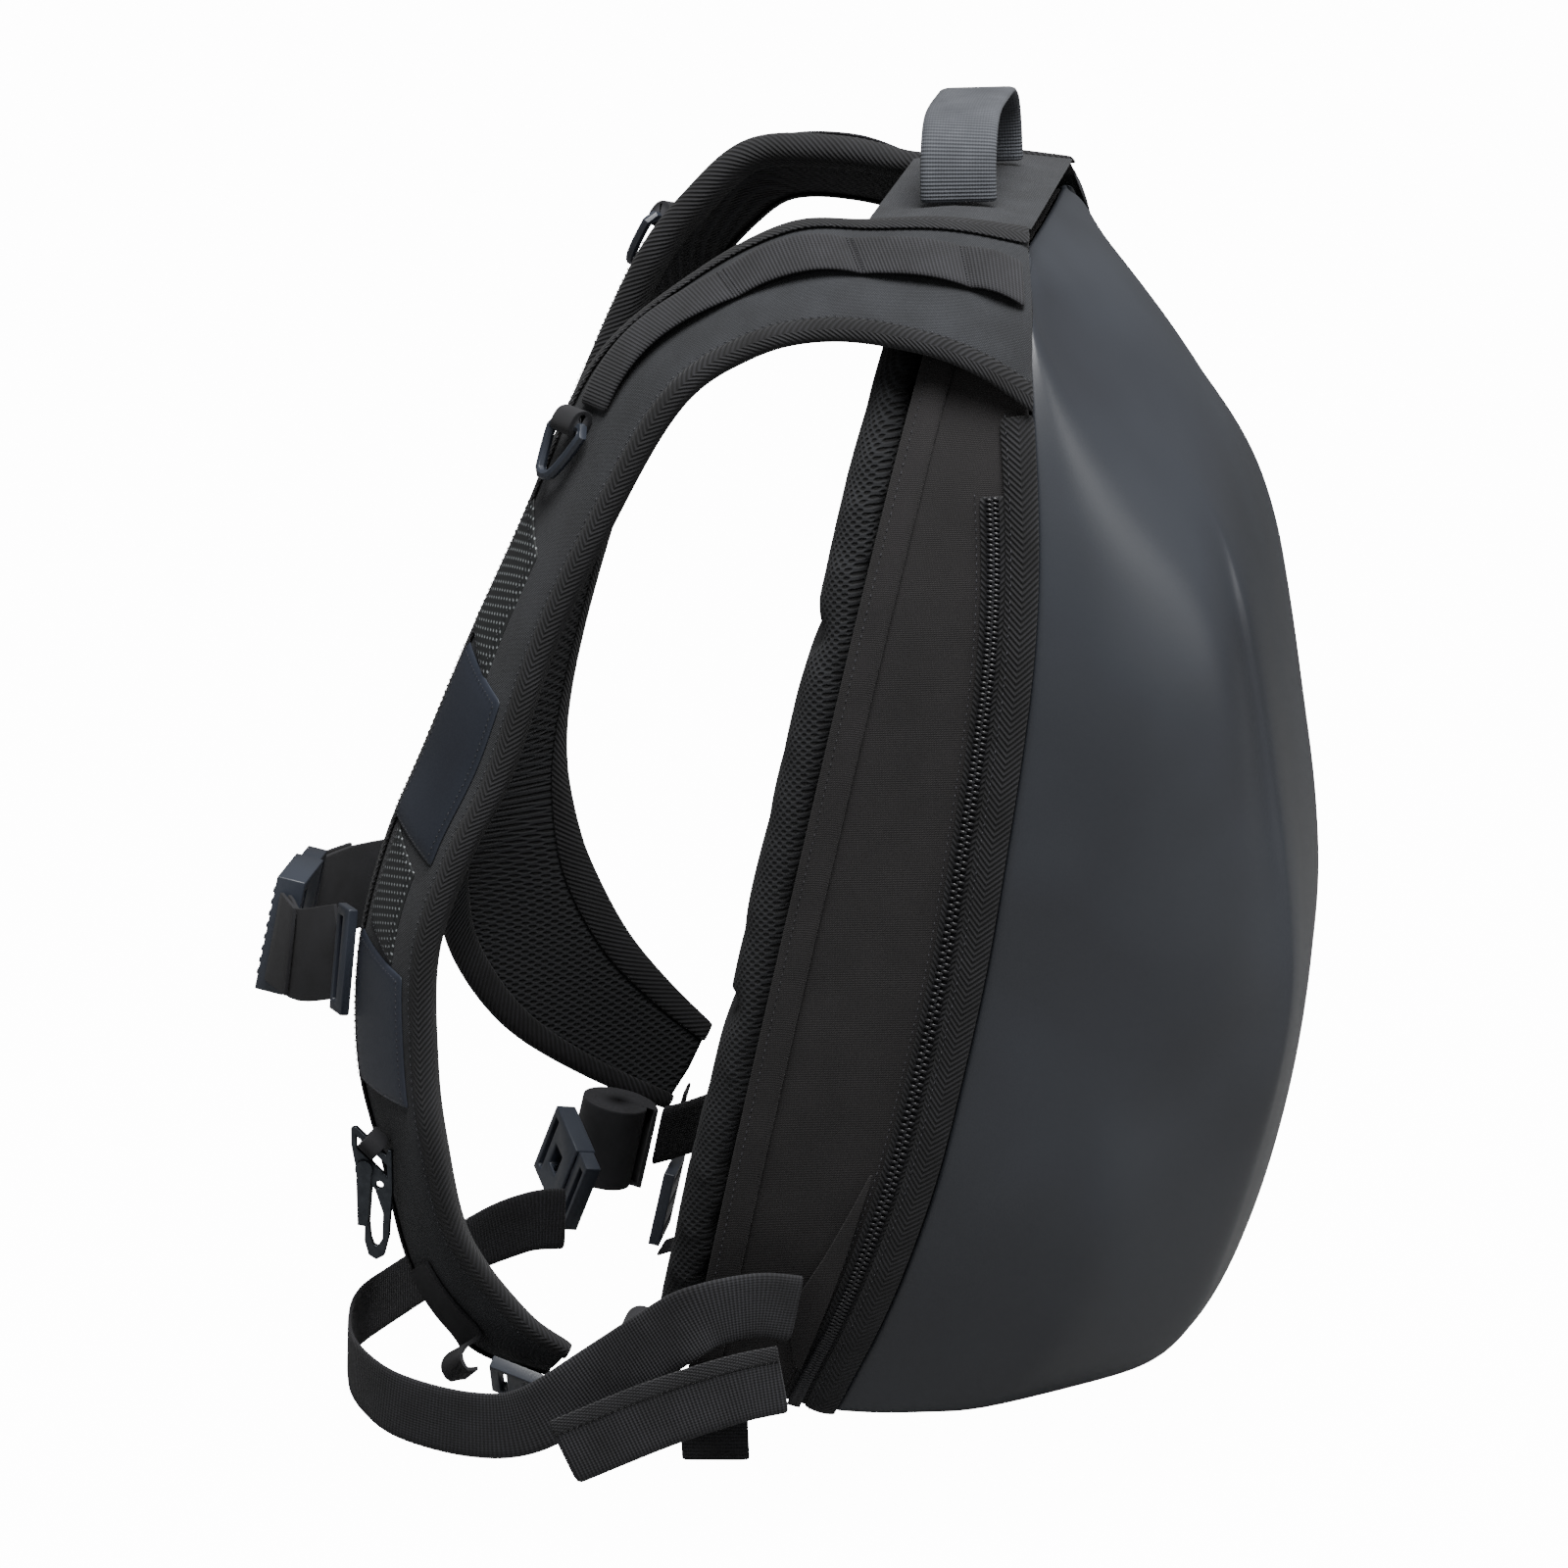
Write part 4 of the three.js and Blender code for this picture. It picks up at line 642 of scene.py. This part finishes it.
def rim_place(place):
    n = len(rim_loop)
    i = int(place) % n
    w = place - int(place)
    p0, p1, p2, p3 = (rim_loop[(i + k) % n] for k in (-1, 0, 1, 2))
    t1, t2 = (p2 - p0) / 2, (p3 - p1) / 2
    ease = 3 * w**2 - 2 * w**3
    at = (1 - ease) * p1 + ease * p2 + (w**3 - 2 * w**2 + w) * t1 + (w**3 - w**2) * t2
    ahead = (p2 - p0) * (1 - w) + (p3 - p1) * w
    out = Vector((ahead.z, 0, -ahead.x)).normalized()
    return at, out if out.dot(at - Vector((0, at.y, MID_HEIGHT))) > 0 else -out


def body_place(place, y, off):
    at, out = rim_place(place)
    way = max(0, min(1, (y - at.y) / -at.y))
    drop = PACK_HEIGHT * REAR_DROP * way * max(0, at.z / PACK_HEIGHT - 0.2)
    return Vector((at.x * (1 - REAR_TAPER * way), y, at.z - drop)) + out * off


def rim_band(name, nodes, front, back, off, material, wall, run=None, bow=0.0, columns=6):
    start, end = run or (0, len(rim_loop))
    count = int((end - start) * 4)
    rows = []
    for place in steps(start, end, count)[: None if run else -1]:
        y0, y1 = front(rim_place(place)[0]), back(rim_place(place)[0])
        rows.append([
            body_place(place, y0 + (y1 - y0) * s, off + bow * math.sin(math.pi * s))
            for s in steps(0, 1, columns)
        ])
    piece = finish_piece(name, grid_mesh(rows, closed_along=not run), material, nodes)
    return thicken(piece, wall, 0, 1)


ROWS = len(SHELL_ROWS)
TAPE_RUN = (2 * ROWS - 14, 2 * ROWS + 2 + 14)  # up to 14 rows from the base on either side
ZIP_RUN = (2 * ROWS - 13, 2 * ROWS + 2 + 13)
ZIP_TAPE_WIDTH = 9
rim_band("body_wall", ("main_gusset",), lambda p: p.y + 1, lambda p: -REAR_SEAM, -1, BODY, 1.8)
rim_band("rear_wall", ("rear_gusset",), lambda p: -REAR_SEAM - 2.5, lambda p: -PANEL_THICK,
         0.2, BODY, 2.2, bow=1.2)
rim_band("rim_tape", ("rim_binding",), lambda p: p.y - 0.6, lambda p: p.y + BINDING_WIDTH,
         1.1, TWILL, 1.0, TAPE_RUN, bow=1.0)
rim_band("zip_tape", ("main_zip",), lambda p: p.y + BINDING_WIDTH - 1,
         lambda p: p.y + BINDING_WIDTH + ZIP_TAPE_WIDTH, 0.5, TWILL, 0.8, ZIP_RUN)

# The cloth behind the pad closes the rear, so no light passes beside the pad.
cover = []
for place in steps(0, len(rim_loop), len(rim_loop) * 4)[:-1]:
    edge = body_place(place, -PANEL_THICK - 0.8, -0.6)
    middle = Vector((0, edge.y, MID_HEIGHT))
    cover.append([middle.lerp(edge, share) for share in (0.02, 0.35, 0.7, 1.0)])
thicken(finish_piece("rear_cover", grid_mesh(cover, closed_along=True), BODY), 1.2, 0, 0)
print("bands: 4 around a rim of", len(rim_loop), "places, and the rear cover")

# %% [markdown]
# The zip's coil is a row of small beads set across the tape, two to a pitch, and a seam of stitches
# runs beside the tape and along the rear strip.

# %% Zip coil and body seams
def coil(name, run, inset, pitch=1.9):
    places = steps(run[0], run[1], 900)
    line = [body_place(t, rim_place(t)[0].y + inset, 1.5) for t in places]
    bm = bmesh.new()
    wide, long, high = 3.0, 1.0, 1.3  # one bead
    travelled, side = 0.0, 1
    for a, b, t in zip(line, line[1:], places):
        travelled += (b - a).length
        if travelled < pitch / 2:
            continue
        travelled -= pitch / 2
        side = -side
        spin = rim_place(t)[1]
        way = (b - a).normalized()
        centre = a + Vector((0, side * 1.1, 0))
        made = bmesh.ops.create_cube(bm, size=1)["verts"]
        cross = Vector((0, 1, 0))
        for v in made:
            local = v.co.copy()
            grown = cross * local.x * wide + way * local.y * long + spin * local.z * high
            v.co = placed(centre + grown)
    return finish_piece(name, bm, COIL)


coil("zip_coil", ZIP_RUN, BINDING_WIDTH + 4.2)
RIM_SEAMS = [(ZIP_RUN, BINDING_WIDTH + 10.5, 1.0), (TAPE_RUN, BINDING_WIDTH - 2.2, 2.0)]
for index, (run, inset, off) in enumerate(RIM_SEAMS):
    places = steps(run[0], run[1], 500)
    line = [body_place(t, rim_place(t)[0].y + inset, off) for t in places]
    stitches("rim_seam_%d" % index, line, [rim_place(t)[1] for t in places], material=THREAD)
REAR_SEAMS = [(-REAR_SEAM - 2, 0.6), (-PANEL_THICK - 3.5, 2.0)]
for index, (y, off) in enumerate(REAR_SEAMS):
    places = steps(0, len(rim_loop), 700)
    line = [body_place(t, y, off) for t in places]
    stitches("rear_seam_%d" % index, line, [rim_place(t)[1] for t in places], material=THREAD)
print("seams: the coil,", len(RIM_SEAMS), "beside the rim and", len(REAR_SEAMS), "at the rear")

# %% [markdown]
# ## Back panel
# A padded slab: the solid's own form is remeshed, then filled by a short cloth simulation.

# %% Back panel
def padded_copy(node, name, material, voxel=5, cap=5, pressure=4.0):
    bm = bmesh.new()
    bm.from_mesh(frame["nodes"][node].data)
    bmesh.ops.remove_doubles(bm, verts=bm.verts, dist=1e-5)
    piece = finish_piece(name, bm, material, (node,))
    remesh = piece.modifiers.new("even", "REMESH")
    remesh.mode = "VOXEL"
    remesh.voxel_size = voxel / 1000
    apply_all(piece)
    start = [v.co.copy() for v in piece.data.vertices]
    cloth = piece.modifiers.new("fill", "CLOTH")
    cloth.settings.use_pressure = True
    cloth.settings.uniform_pressure_force = pressure
    cloth.settings.effector_weights.gravity = 0
    cloth.settings.shrink_min = 0.02
    for number in range(1, 21):
        bpy.context.scene.frame_set(number)
    apply_all(piece)
    for v, was in zip(piece.data.vertices, start):
        move = v.co - was
        if move.length > cap / 1000:
            v.co = was + move.normalized() * (cap / 1000)
    bpy.context.scene.frame_set(1)
    for face in piece.data.polygons:
        face.use_smooth = True
    soften(piece, 1)
    return piece


def apply_all(piece):
    ready = piece.evaluated_get(bpy.context.evaluated_depsgraph_get())
    fresh = bpy.data.meshes.new_from_object(ready)
    piece.modifiers.clear()
    piece.data = fresh


pad = padded_copy("back_panel", "back_pad", MESH, cap=3)
print("back pad:", len(pad.data.polygons), "faces before smoothing")

# %% [markdown]
# ## Shoulder straps
# Each strap is a pad through its sections, bound with twill along both edges, with the webbing,
# the dotted panels and the leather patches sewn to its outer face.

# %% Strap faces
class Strap:
    def __init__(self, side, rows):
        place = lambda s: in_harness(side * s[0], s[1], s[2])
        self.side, self.last = side, len(rows) - 1
        self.neck = smooth_line([place(row.neck) for row in rows])
        self.arm = smooth_line([place(row.arm) for row in rows])
        self.extra = smooth_line([Vector((row.thick, row.crown, 0)) for row in rows])

    def frame(self, t):
        ahead = self.neck(t + 0.05) + self.arm(t + 0.05) - self.neck(t - 0.05) - self.arm(t - 0.05)
        across = self.arm(t) - self.neck(t)
        along = ahead.normalized()
        return along, across, (along.cross(across) * -self.side).normalized()

    def at(self, t, s, off):
        _, across, out = self.frame(t)
        crown = across.length * self.extra(t).y * (1 - (2 * s - 1) ** 2)
        return self.neck(t) + across * s + out * (crown + off)

    def thick(self, t):
        return STRAP_PAD * self.extra(t).x


STRAPS = {"left": Strap(-1, LEFT_ROWS), "right": Strap(1, RIGHT_ROWS)}


def tape_edge(name, strap, section):
    rows = [
        [strap.at(t, s + out_s, d * strap.thick(t) + out_d) for s, d, out_s, out_d in section]
        for t in steps(0.02, strap.last, strap.last * 6)
    ]
    return thicken(finish_piece(name, grid_mesh(rows), TWILL), 1.0, 0, 1)


# The tape's cut round each edge: a place of the strap's cut, and how far off it the tape lies.
NECK_TAPE = [
    (0.12, 0, 0, 0.7), (0.06, -0.02, 0, 0.8), (0.01, -0.12, -0.01, 0.5), (0, -0.3, -0.015, 0),
    (0, -0.6, -0.015, 0), (0.03, -0.82, -0.01, -0.5), (0.1, -0.92, 0, -0.8), (0.16, -0.95, 0, -0.8),
]
ARM_TAPE = [
    (0.85, 0, 0, 0.7), (0.91, -0.04, 0, 0.8), (0.95, -0.13, 0.01, 0.5), (0.96, -0.28, 0.015, 0),
    (0.92, -0.5, 0.015, -0.3), (0.88, -0.7, 0.01, -0.5), (0.83, -0.88, 0, -0.8), (0.77, -0.94, 0, -0.8),
]
LINING = range(11, 18)  # the columns of the cut that face the wearer

for name, strap in STRAPS.items():
    rows = [
        [strap.at(t, s, d * strap.thick(t)) for s, d in STRAP_SECTION]
        for t in steps(0, strap.last, strap.last * 5)
    ]
    pad = finish_piece(name + "_strap_pad", grid_mesh(rows, closed_across=True, caps=True), NYLON,
                       (name + "_shoulder_strap",))
    pad.data.materials.append(MESH)
    for face in pad.data.polygons:
        column = face.index % len(STRAP_SECTION)
        face.material_index = 1 if column in LINING else 0
    soften(pad, 1)
    tape_edge(name + "_neck_tape", strap, NECK_TAPE)
    tape_edge(name + "_arm_tape", strap, ARM_TAPE)
    for label, share in (("neck", 0.115), ("arm", 0.855)):
        places = steps(0.1, strap.last - 0.1, 400)
        stitches("%s_%s_stitches" % (name, label), [strap.at(t, share, 1.1) for t in places],
                 [strap.frame(t)[2] for t in places], material=THREAD)
    print(name, "strap: width at its middle", round(strap.frame(strap.last / 2)[1].length), "mm")

# %% [markdown]
# A sewn-on panel is a low pillow: rounded rings that rise from its edge to its middle.

# %% Panels and daisy webbing
PANELS = [
    ("upper_reflector", 6.0, 7.15, 0.06, 0.52, 1.1, PRINT),
    ("upper_patch", 7.25, 8.95, 0.06, 0.76, 1.3, LEATHER),
    ("lower_reflector", 9.05, 9.95, 0.2, 0.62, 1.1, PRINT),
    ("lower_patch", 10.05, 11.4, 0.08, 0.76, 1.3, LEATHER),
]


SLANT = 0.42  # rows by which a panel's end leans from the neck side to the arm side


def panel(strap, name, t0, t1, s0, s1, thick, material, node):
    rows = []
    for t in steps(0, 1, 28):
        row = []
        for s in steps(0, 1, 12):
            rim_way = min(t, 1 - t, s * 0.6, (1 - s) * 0.6) / 0.1
            height = thick * min(1, 0.35 + rim_way) + 0.25 * math.sin(math.pi * s)
            along = t0 + (t1 - t0) * t + SLANT * (s - 0.5)
            row.append(strap.at(along, s0 + (s1 - s0) * s, height + 0.3))
        rows.append(row)
    piece = finish_piece(name, grid_mesh(rows), material, (node,))
    return thicken(piece, 0.9, -1, 1)


DAISY_TACKS = [0.15, 0.9, 2.35, 3.75, 5.25]  # rows where the webbing is sewn down
DAISY_MIDDLE = 0.38  # its place across the strap


def daisy_rise(t):
    for a, b in zip(DAISY_TACKS, DAISY_TACKS[1:]):
        if t <= b:
            return 2.6 * math.sin(math.pi * (t - a) / (b - a)) ** 0.7 if t > a else 0
    return 0


for name, strap in STRAPS.items():
    for label, t0, t1, s0, s1, thick, material in PANELS:
        node = "%s_%s" % (name, label)
        panel(strap, node + "_piece", t0, t1, s0, s1, thick, material, node)
        outline = [(t, s0 + 0.03) for t in steps(t0 + 0.05, t1 - 0.05, 60)]
        outline += [(t1 - 0.05, s) for s in steps(s0 + 0.03, s1 - 0.03, 20)]
        outline += [(t, s1 - 0.03) for t in steps(t1 - 0.05, t0 + 0.05, 60)]
        outline += [(t0 + 0.05, s) for s in steps(s1 - 0.03, s0 + 0.03, 20)]
        seam = [
            strap.at(t + SLANT * ((s - s0) / (s1 - s0) - 0.5), s, thick + 0.5) for t, s in outline
        ]
        stitches(node + "_seam", seam, [strap.frame(t)[2] for t, _ in outline], pitch=2.6,
                 length=1.8, material=THREAD)
    rows = []
    for t in steps(DAISY_TACKS[0], DAISY_TACKS[-1], 90):
        half = DAISY_WIDTH / strap.frame(t)[1].length / 2
        off = GAP + 0.9 + daisy_rise(t)
        rows.append([strap.at(t, DAISY_MIDDLE + half * s, off) for s in steps(-1, 1, 6)])
    band = finish_piece(name + "_daisy_band", grid_mesh(rows), RIBBED, (name + "_daisy_webbing",))
    thicken(band, WEBBING, 0, 1)
    for index, t in enumerate(DAISY_TACKS[1:-1]):
        half = (DAISY_WIDTH - 3) / strap.frame(t)[1].length / 2
        for way in (-0.03, 0.03):
            line = [strap.at(t + way, DAISY_MIDDLE + half * s, GAP + 2.0) for s in steps(-1, 1, 20)]
            stitches("%s_tack_%d_%d" % (name, index, way > 0), line, [strap.frame(t)[2]] * 20,
                     pitch=1.3, length=1.1, width=0.8, material=THREAD)
print("panels:", len(PANELS), "and", len(DAISY_TACKS) - 2, "pairs of bar-tacks on each strap")

# %% [markdown]
# ## Webbing
# Free and sewn webbing is a band through its rows, with ribs by its UV map and a rounded edge.

# %% Webbing bands
def band_rows(rows, width, count, columns=4):
    centre = smooth_line([Vector(p) for p, _ in rows])
    turn = smooth_line([Vector(a) for _, a in rows])
    made = []
    for t in steps(0, len(rows) - 1, count):
        along = (centre(t + 0.02) - centre(t - 0.02)).normalized()
        across = turn(t)
        across = (across - along * across.dot(along)).normalized()
        made.append([centre(t) + across * (s * width / 2) for s in steps(-1, 1, columns)])
    return made


for name, run in WEBBING_RUNS.items():
    rows = [(in_harness(*row[:3]), row[3:]) for row in run["rows"]]
    cloth = grid_mesh(band_rows(rows, run["width"], len(rows) * 8))
    belt = finish_piece(name + "_band", cloth, RIBBED, (name,))
    thicken(belt, WEBBING, 0, 1)

# The tail's fuzzy fastening strip, along its upper edge and just proud of it.
tail = [(in_harness(*row[:3]), row[3:]) for row in WEBBING_RUNS["hip_tail"]["rows"]]
strip = [
    [row[3] + Vector((-0.9, 0, 0.4)), row[4] + Vector((-0.9, 0, 1.2))]
    for row in band_rows(tail, BELT_WIDTH, 60)
]
thicken(finish_piece("tail_fastening_strip", grid_mesh(strip), FUZZ), 0.8, 0, 1)
print("webbing:", len(WEBBING_RUNS), "free bands and the tail's strip")

# %% [markdown]
# ## Hardware and small webbing
# Buckles, sliders and ladder locks are moulded acetal, and the hook is stamped steel. Their solids
# already have the true shape, so each gets a copy with rounded edges, which catch the light as
# moulded and tumbled edges do. Short sewn tabs are made the same way.

# %% Hardware

for name, strap in STRAPS.items():
    copy_of(name + "_ring_loop", RIBBED, 0.3, 1)
    copy_of(name + "_ring", PLASTIC, 0.5, 1)
    copy_of(name + "_sternum_slider", PLASTIC, 0.8)
    copy_of(name + "_sternum_webbing", RIBBED, 0.3)
    copy_of(name + "_sternum_tail", RIBBED, 0.3)
    copy_of(name + "_belt_wing", BODY, 0.6)
copy_of("harness_yoke", NYLON, 0.5)
copy_of("left_foot_tab", RIBBED, 0.3, 1)
copy_of("hook_tab", RIBBED, 0.3, 1)
copy_of("upright_loop", RIBBED, 0.3, 1)
copy_of("belt_bundle", RIBBED, 0.3, 1)
for name in ("left_ladder_lock", "right_ladder_lock", "sternum_buckle_body", "sternum_buckle_tongue",
             "hip_buckle_body", "hip_buckle_tongue"):
    copy_of(name, PLASTIC, 0.8)
copy_of("snap_hook", METAL, 0.6)
copy_of("hook_gate", METAL, 0.3)

# %% [markdown]
# The sternum buckle has a row of grip ribs on its face. Each is a cube, scaled and bevelled.

# %% Buckle ribs
def ribs(name, centre, reach, count, size):
    """A row of moulded grip ribs, one above another."""
    bm = bmesh.new()
    for z in steps(-reach / 2, reach / 2, count - 1):
        made = bmesh.ops.create_cube(bm, size=1)["verts"]
        for v in made:
            grown = Vector((v.co.x * size[0], v.co.y * size[1], v.co.z * size[2] + z))
            v.co = placed(Vector(centre) + grown)
    edges = list(bm.edges)
    bmesh.ops.bevel(
        bm, geom=edges, offset=0.0004, offset_type="OFFSET", segments=2, profile=0.5,
        affect="EDGES", material=-1,
    )
    return finish_piece(name, bm, PLASTIC)


def upright(p):
    """The inverse of `placed`: metres in the part's frame to millimetres in the upright one."""
    c, s = math.cos(LEAN), math.sin(LEAN)
    at = Vector((p.x, p.y * c + p.z * s, -p.y * s + p.z * c)) * 1000
    return at + Vector((0, 0, MIDDLE))


low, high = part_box("sternum_buckle_body")
buckle = upright((Vector(low) + Vector(high)) / 2)
ribs("sternum_buckle_ribs", (buckle.x - 12, buckle.y + 6.2, buckle.z), 36, 8, (8, 1.4, 2.2))
print("buckle at", [round(v) for v in buckle], "mm, upright")

# %% [markdown]
# ## Haul handle
# A stiff grey webbing arch over the yoke, with both feet lying on it.

# %% Haul handle
HANDLE_WIDTH, HANDLE_THICK, HANDLE_RISE, HANDLE_HALF = 30, 3.5, 33, 50
HANDLE_ROW = 0.95  # the strap row beside its feet
right = STRAPS["right"]
YOKE_TOP = -0.3  # the yoke's upper face, as a place through the strap's thickness
seat = right.at(HANDLE_ROW, 0, YOKE_TOP * right.thick(HANDLE_ROW))
beyond = HANDLE_ROW + 0.2
ahead = (right.at(beyond, 0, YOKE_TOP * right.thick(beyond)) - seat).normalized()
up = Vector((0, -ahead.z, ahead.y)).normalized()
rows = []
for angle in steps(math.pi, 0, 36):
    x = math.copysign(abs(math.cos(angle)) ** 0.45, math.cos(angle))
    z = math.sin(angle) ** 0.8 if 0 < angle < math.pi else 0
    rows.append((Vector((x * HANDLE_HALF, seat.y, seat.z)) + up * (z * HANDLE_RISE + 0.9), ahead))
arch = grid_mesh(band_rows(rows, HANDLE_WIDTH, 80, 6))
handle = finish_piece("haul_handle_band", arch, GREY_RIBBED, ("haul_handle",))
thicken(handle, HANDLE_THICK, 0, 1)
print("handle:", 2 * HANDLE_HALF, "mm wide and", HANDLE_RISE, "mm high")

# %% [markdown]
# ## Camera and light
# A large soft light hangs overhead, with two weak ones beside it. The camera stands where the
# photograph was taken: level with the pack's side, a little above.

# %% Camera and light
camera = bpy.data.objects.new("camera", bpy.data.cameras.new("camera"))
bpy.context.scene.collection.objects.link(camera)
camera.location = (-2.3913, -0.3223, 0.6219)
aim = Vector((0, 0.0138, -0.0251)) - camera.location
camera.rotation_euler = aim.to_track_quat("-Z", "Y").to_euler()
camera.data.lens = 140.6
camera.data.sensor_width = 36
bpy.context.scene.camera = camera


def area_light(name, place, size, power):
    lamp = bpy.data.objects.new(name, bpy.data.lights.new(name, "AREA"))
    bpy.context.scene.collection.objects.link(lamp)
    lamp.location = place
    lamp.rotation_euler = (-Vector(place)).to_track_quat("-Z", "Y").to_euler()
    lamp.data.size = size
    lamp.data.energy = power


area_light("top_light", (-0.8, -0.45, 2.4), 1.5, 150)
area_light("side_light", (-2.6, 1.6, 0.9), 1.6, 6)
area_light("shell_light", (-0.5, -2.6, 1.0), 1.0, 18)


# %% [markdown]
# The photograph's backdrop is pure white. So is this one to the camera, by a Light Path switch, but
# its light on the pack is weak, so that the dark cloth keeps its depth.

# %% Backdrop and floor
WHITE = 14.0  # strength at which the backdrop is pure white in the picture
SKY_FILL = 0.18  # strength with which it lights the pack


def seen_white(tree, shader_input, seen, felt):
    """A strength that the camera sees as white, and that lights the object much less."""
    path = tree.nodes.new("ShaderNodeLightPath")
    reach = tree.nodes.new("ShaderNodeMapRange")
    tree.links.new(path.outputs["Is Camera Ray"], reach.inputs[0])
    reach.inputs[3].default_value = felt
    reach.inputs[4].default_value = seen
    tree.links.new(reach.outputs[0], shader_input)


world = bpy.data.worlds.new("studio")
world.use_nodes = True
sky = world.node_tree.nodes["Background"]
sky.inputs[0].default_value = (1, 1, 1, 1)
seen_white(world.node_tree, sky.inputs[1], WHITE, SKY_FILL)
bpy.context.scene.world = world

bm = bmesh.new()
bmesh.ops.create_grid(bm, x_segments=1, y_segments=1, size=6)
floor_mesh = bpy.data.meshes.new("floor")
bmesh.ops.translate(bm, verts=bm.verts, vec=(0, 0, cad_low[2] - 0.02))
bm.to_mesh(floor_mesh)
bm.free()
floor = bpy.data.objects.new("floor", floor_mesh)
bpy.context.scene.collection.objects.link(floor)
paper = moulded("pale_floor", "#7c7c7c", "#828282", 0.8)
paper_shader = paper.node_tree.nodes["Principled BSDF"]
paper_shader.inputs["Emission Color"].default_value = (1, 1, 1, 1)
seen_white(paper.node_tree, paper_shader.inputs["Emission Strength"], WHITE, 0.0)
floor_mesh.materials.append(paper)
floor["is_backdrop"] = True

# %% [markdown]
# ## Sizes of the result
# The visual model's box is printed beside the solids' box.

# %% Finish
low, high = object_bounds()
print("cad", [round(v, 4) for v in (*cad_low, *cad_high)])
print("visual", [round(v, 4) for v in (*low, *high)])
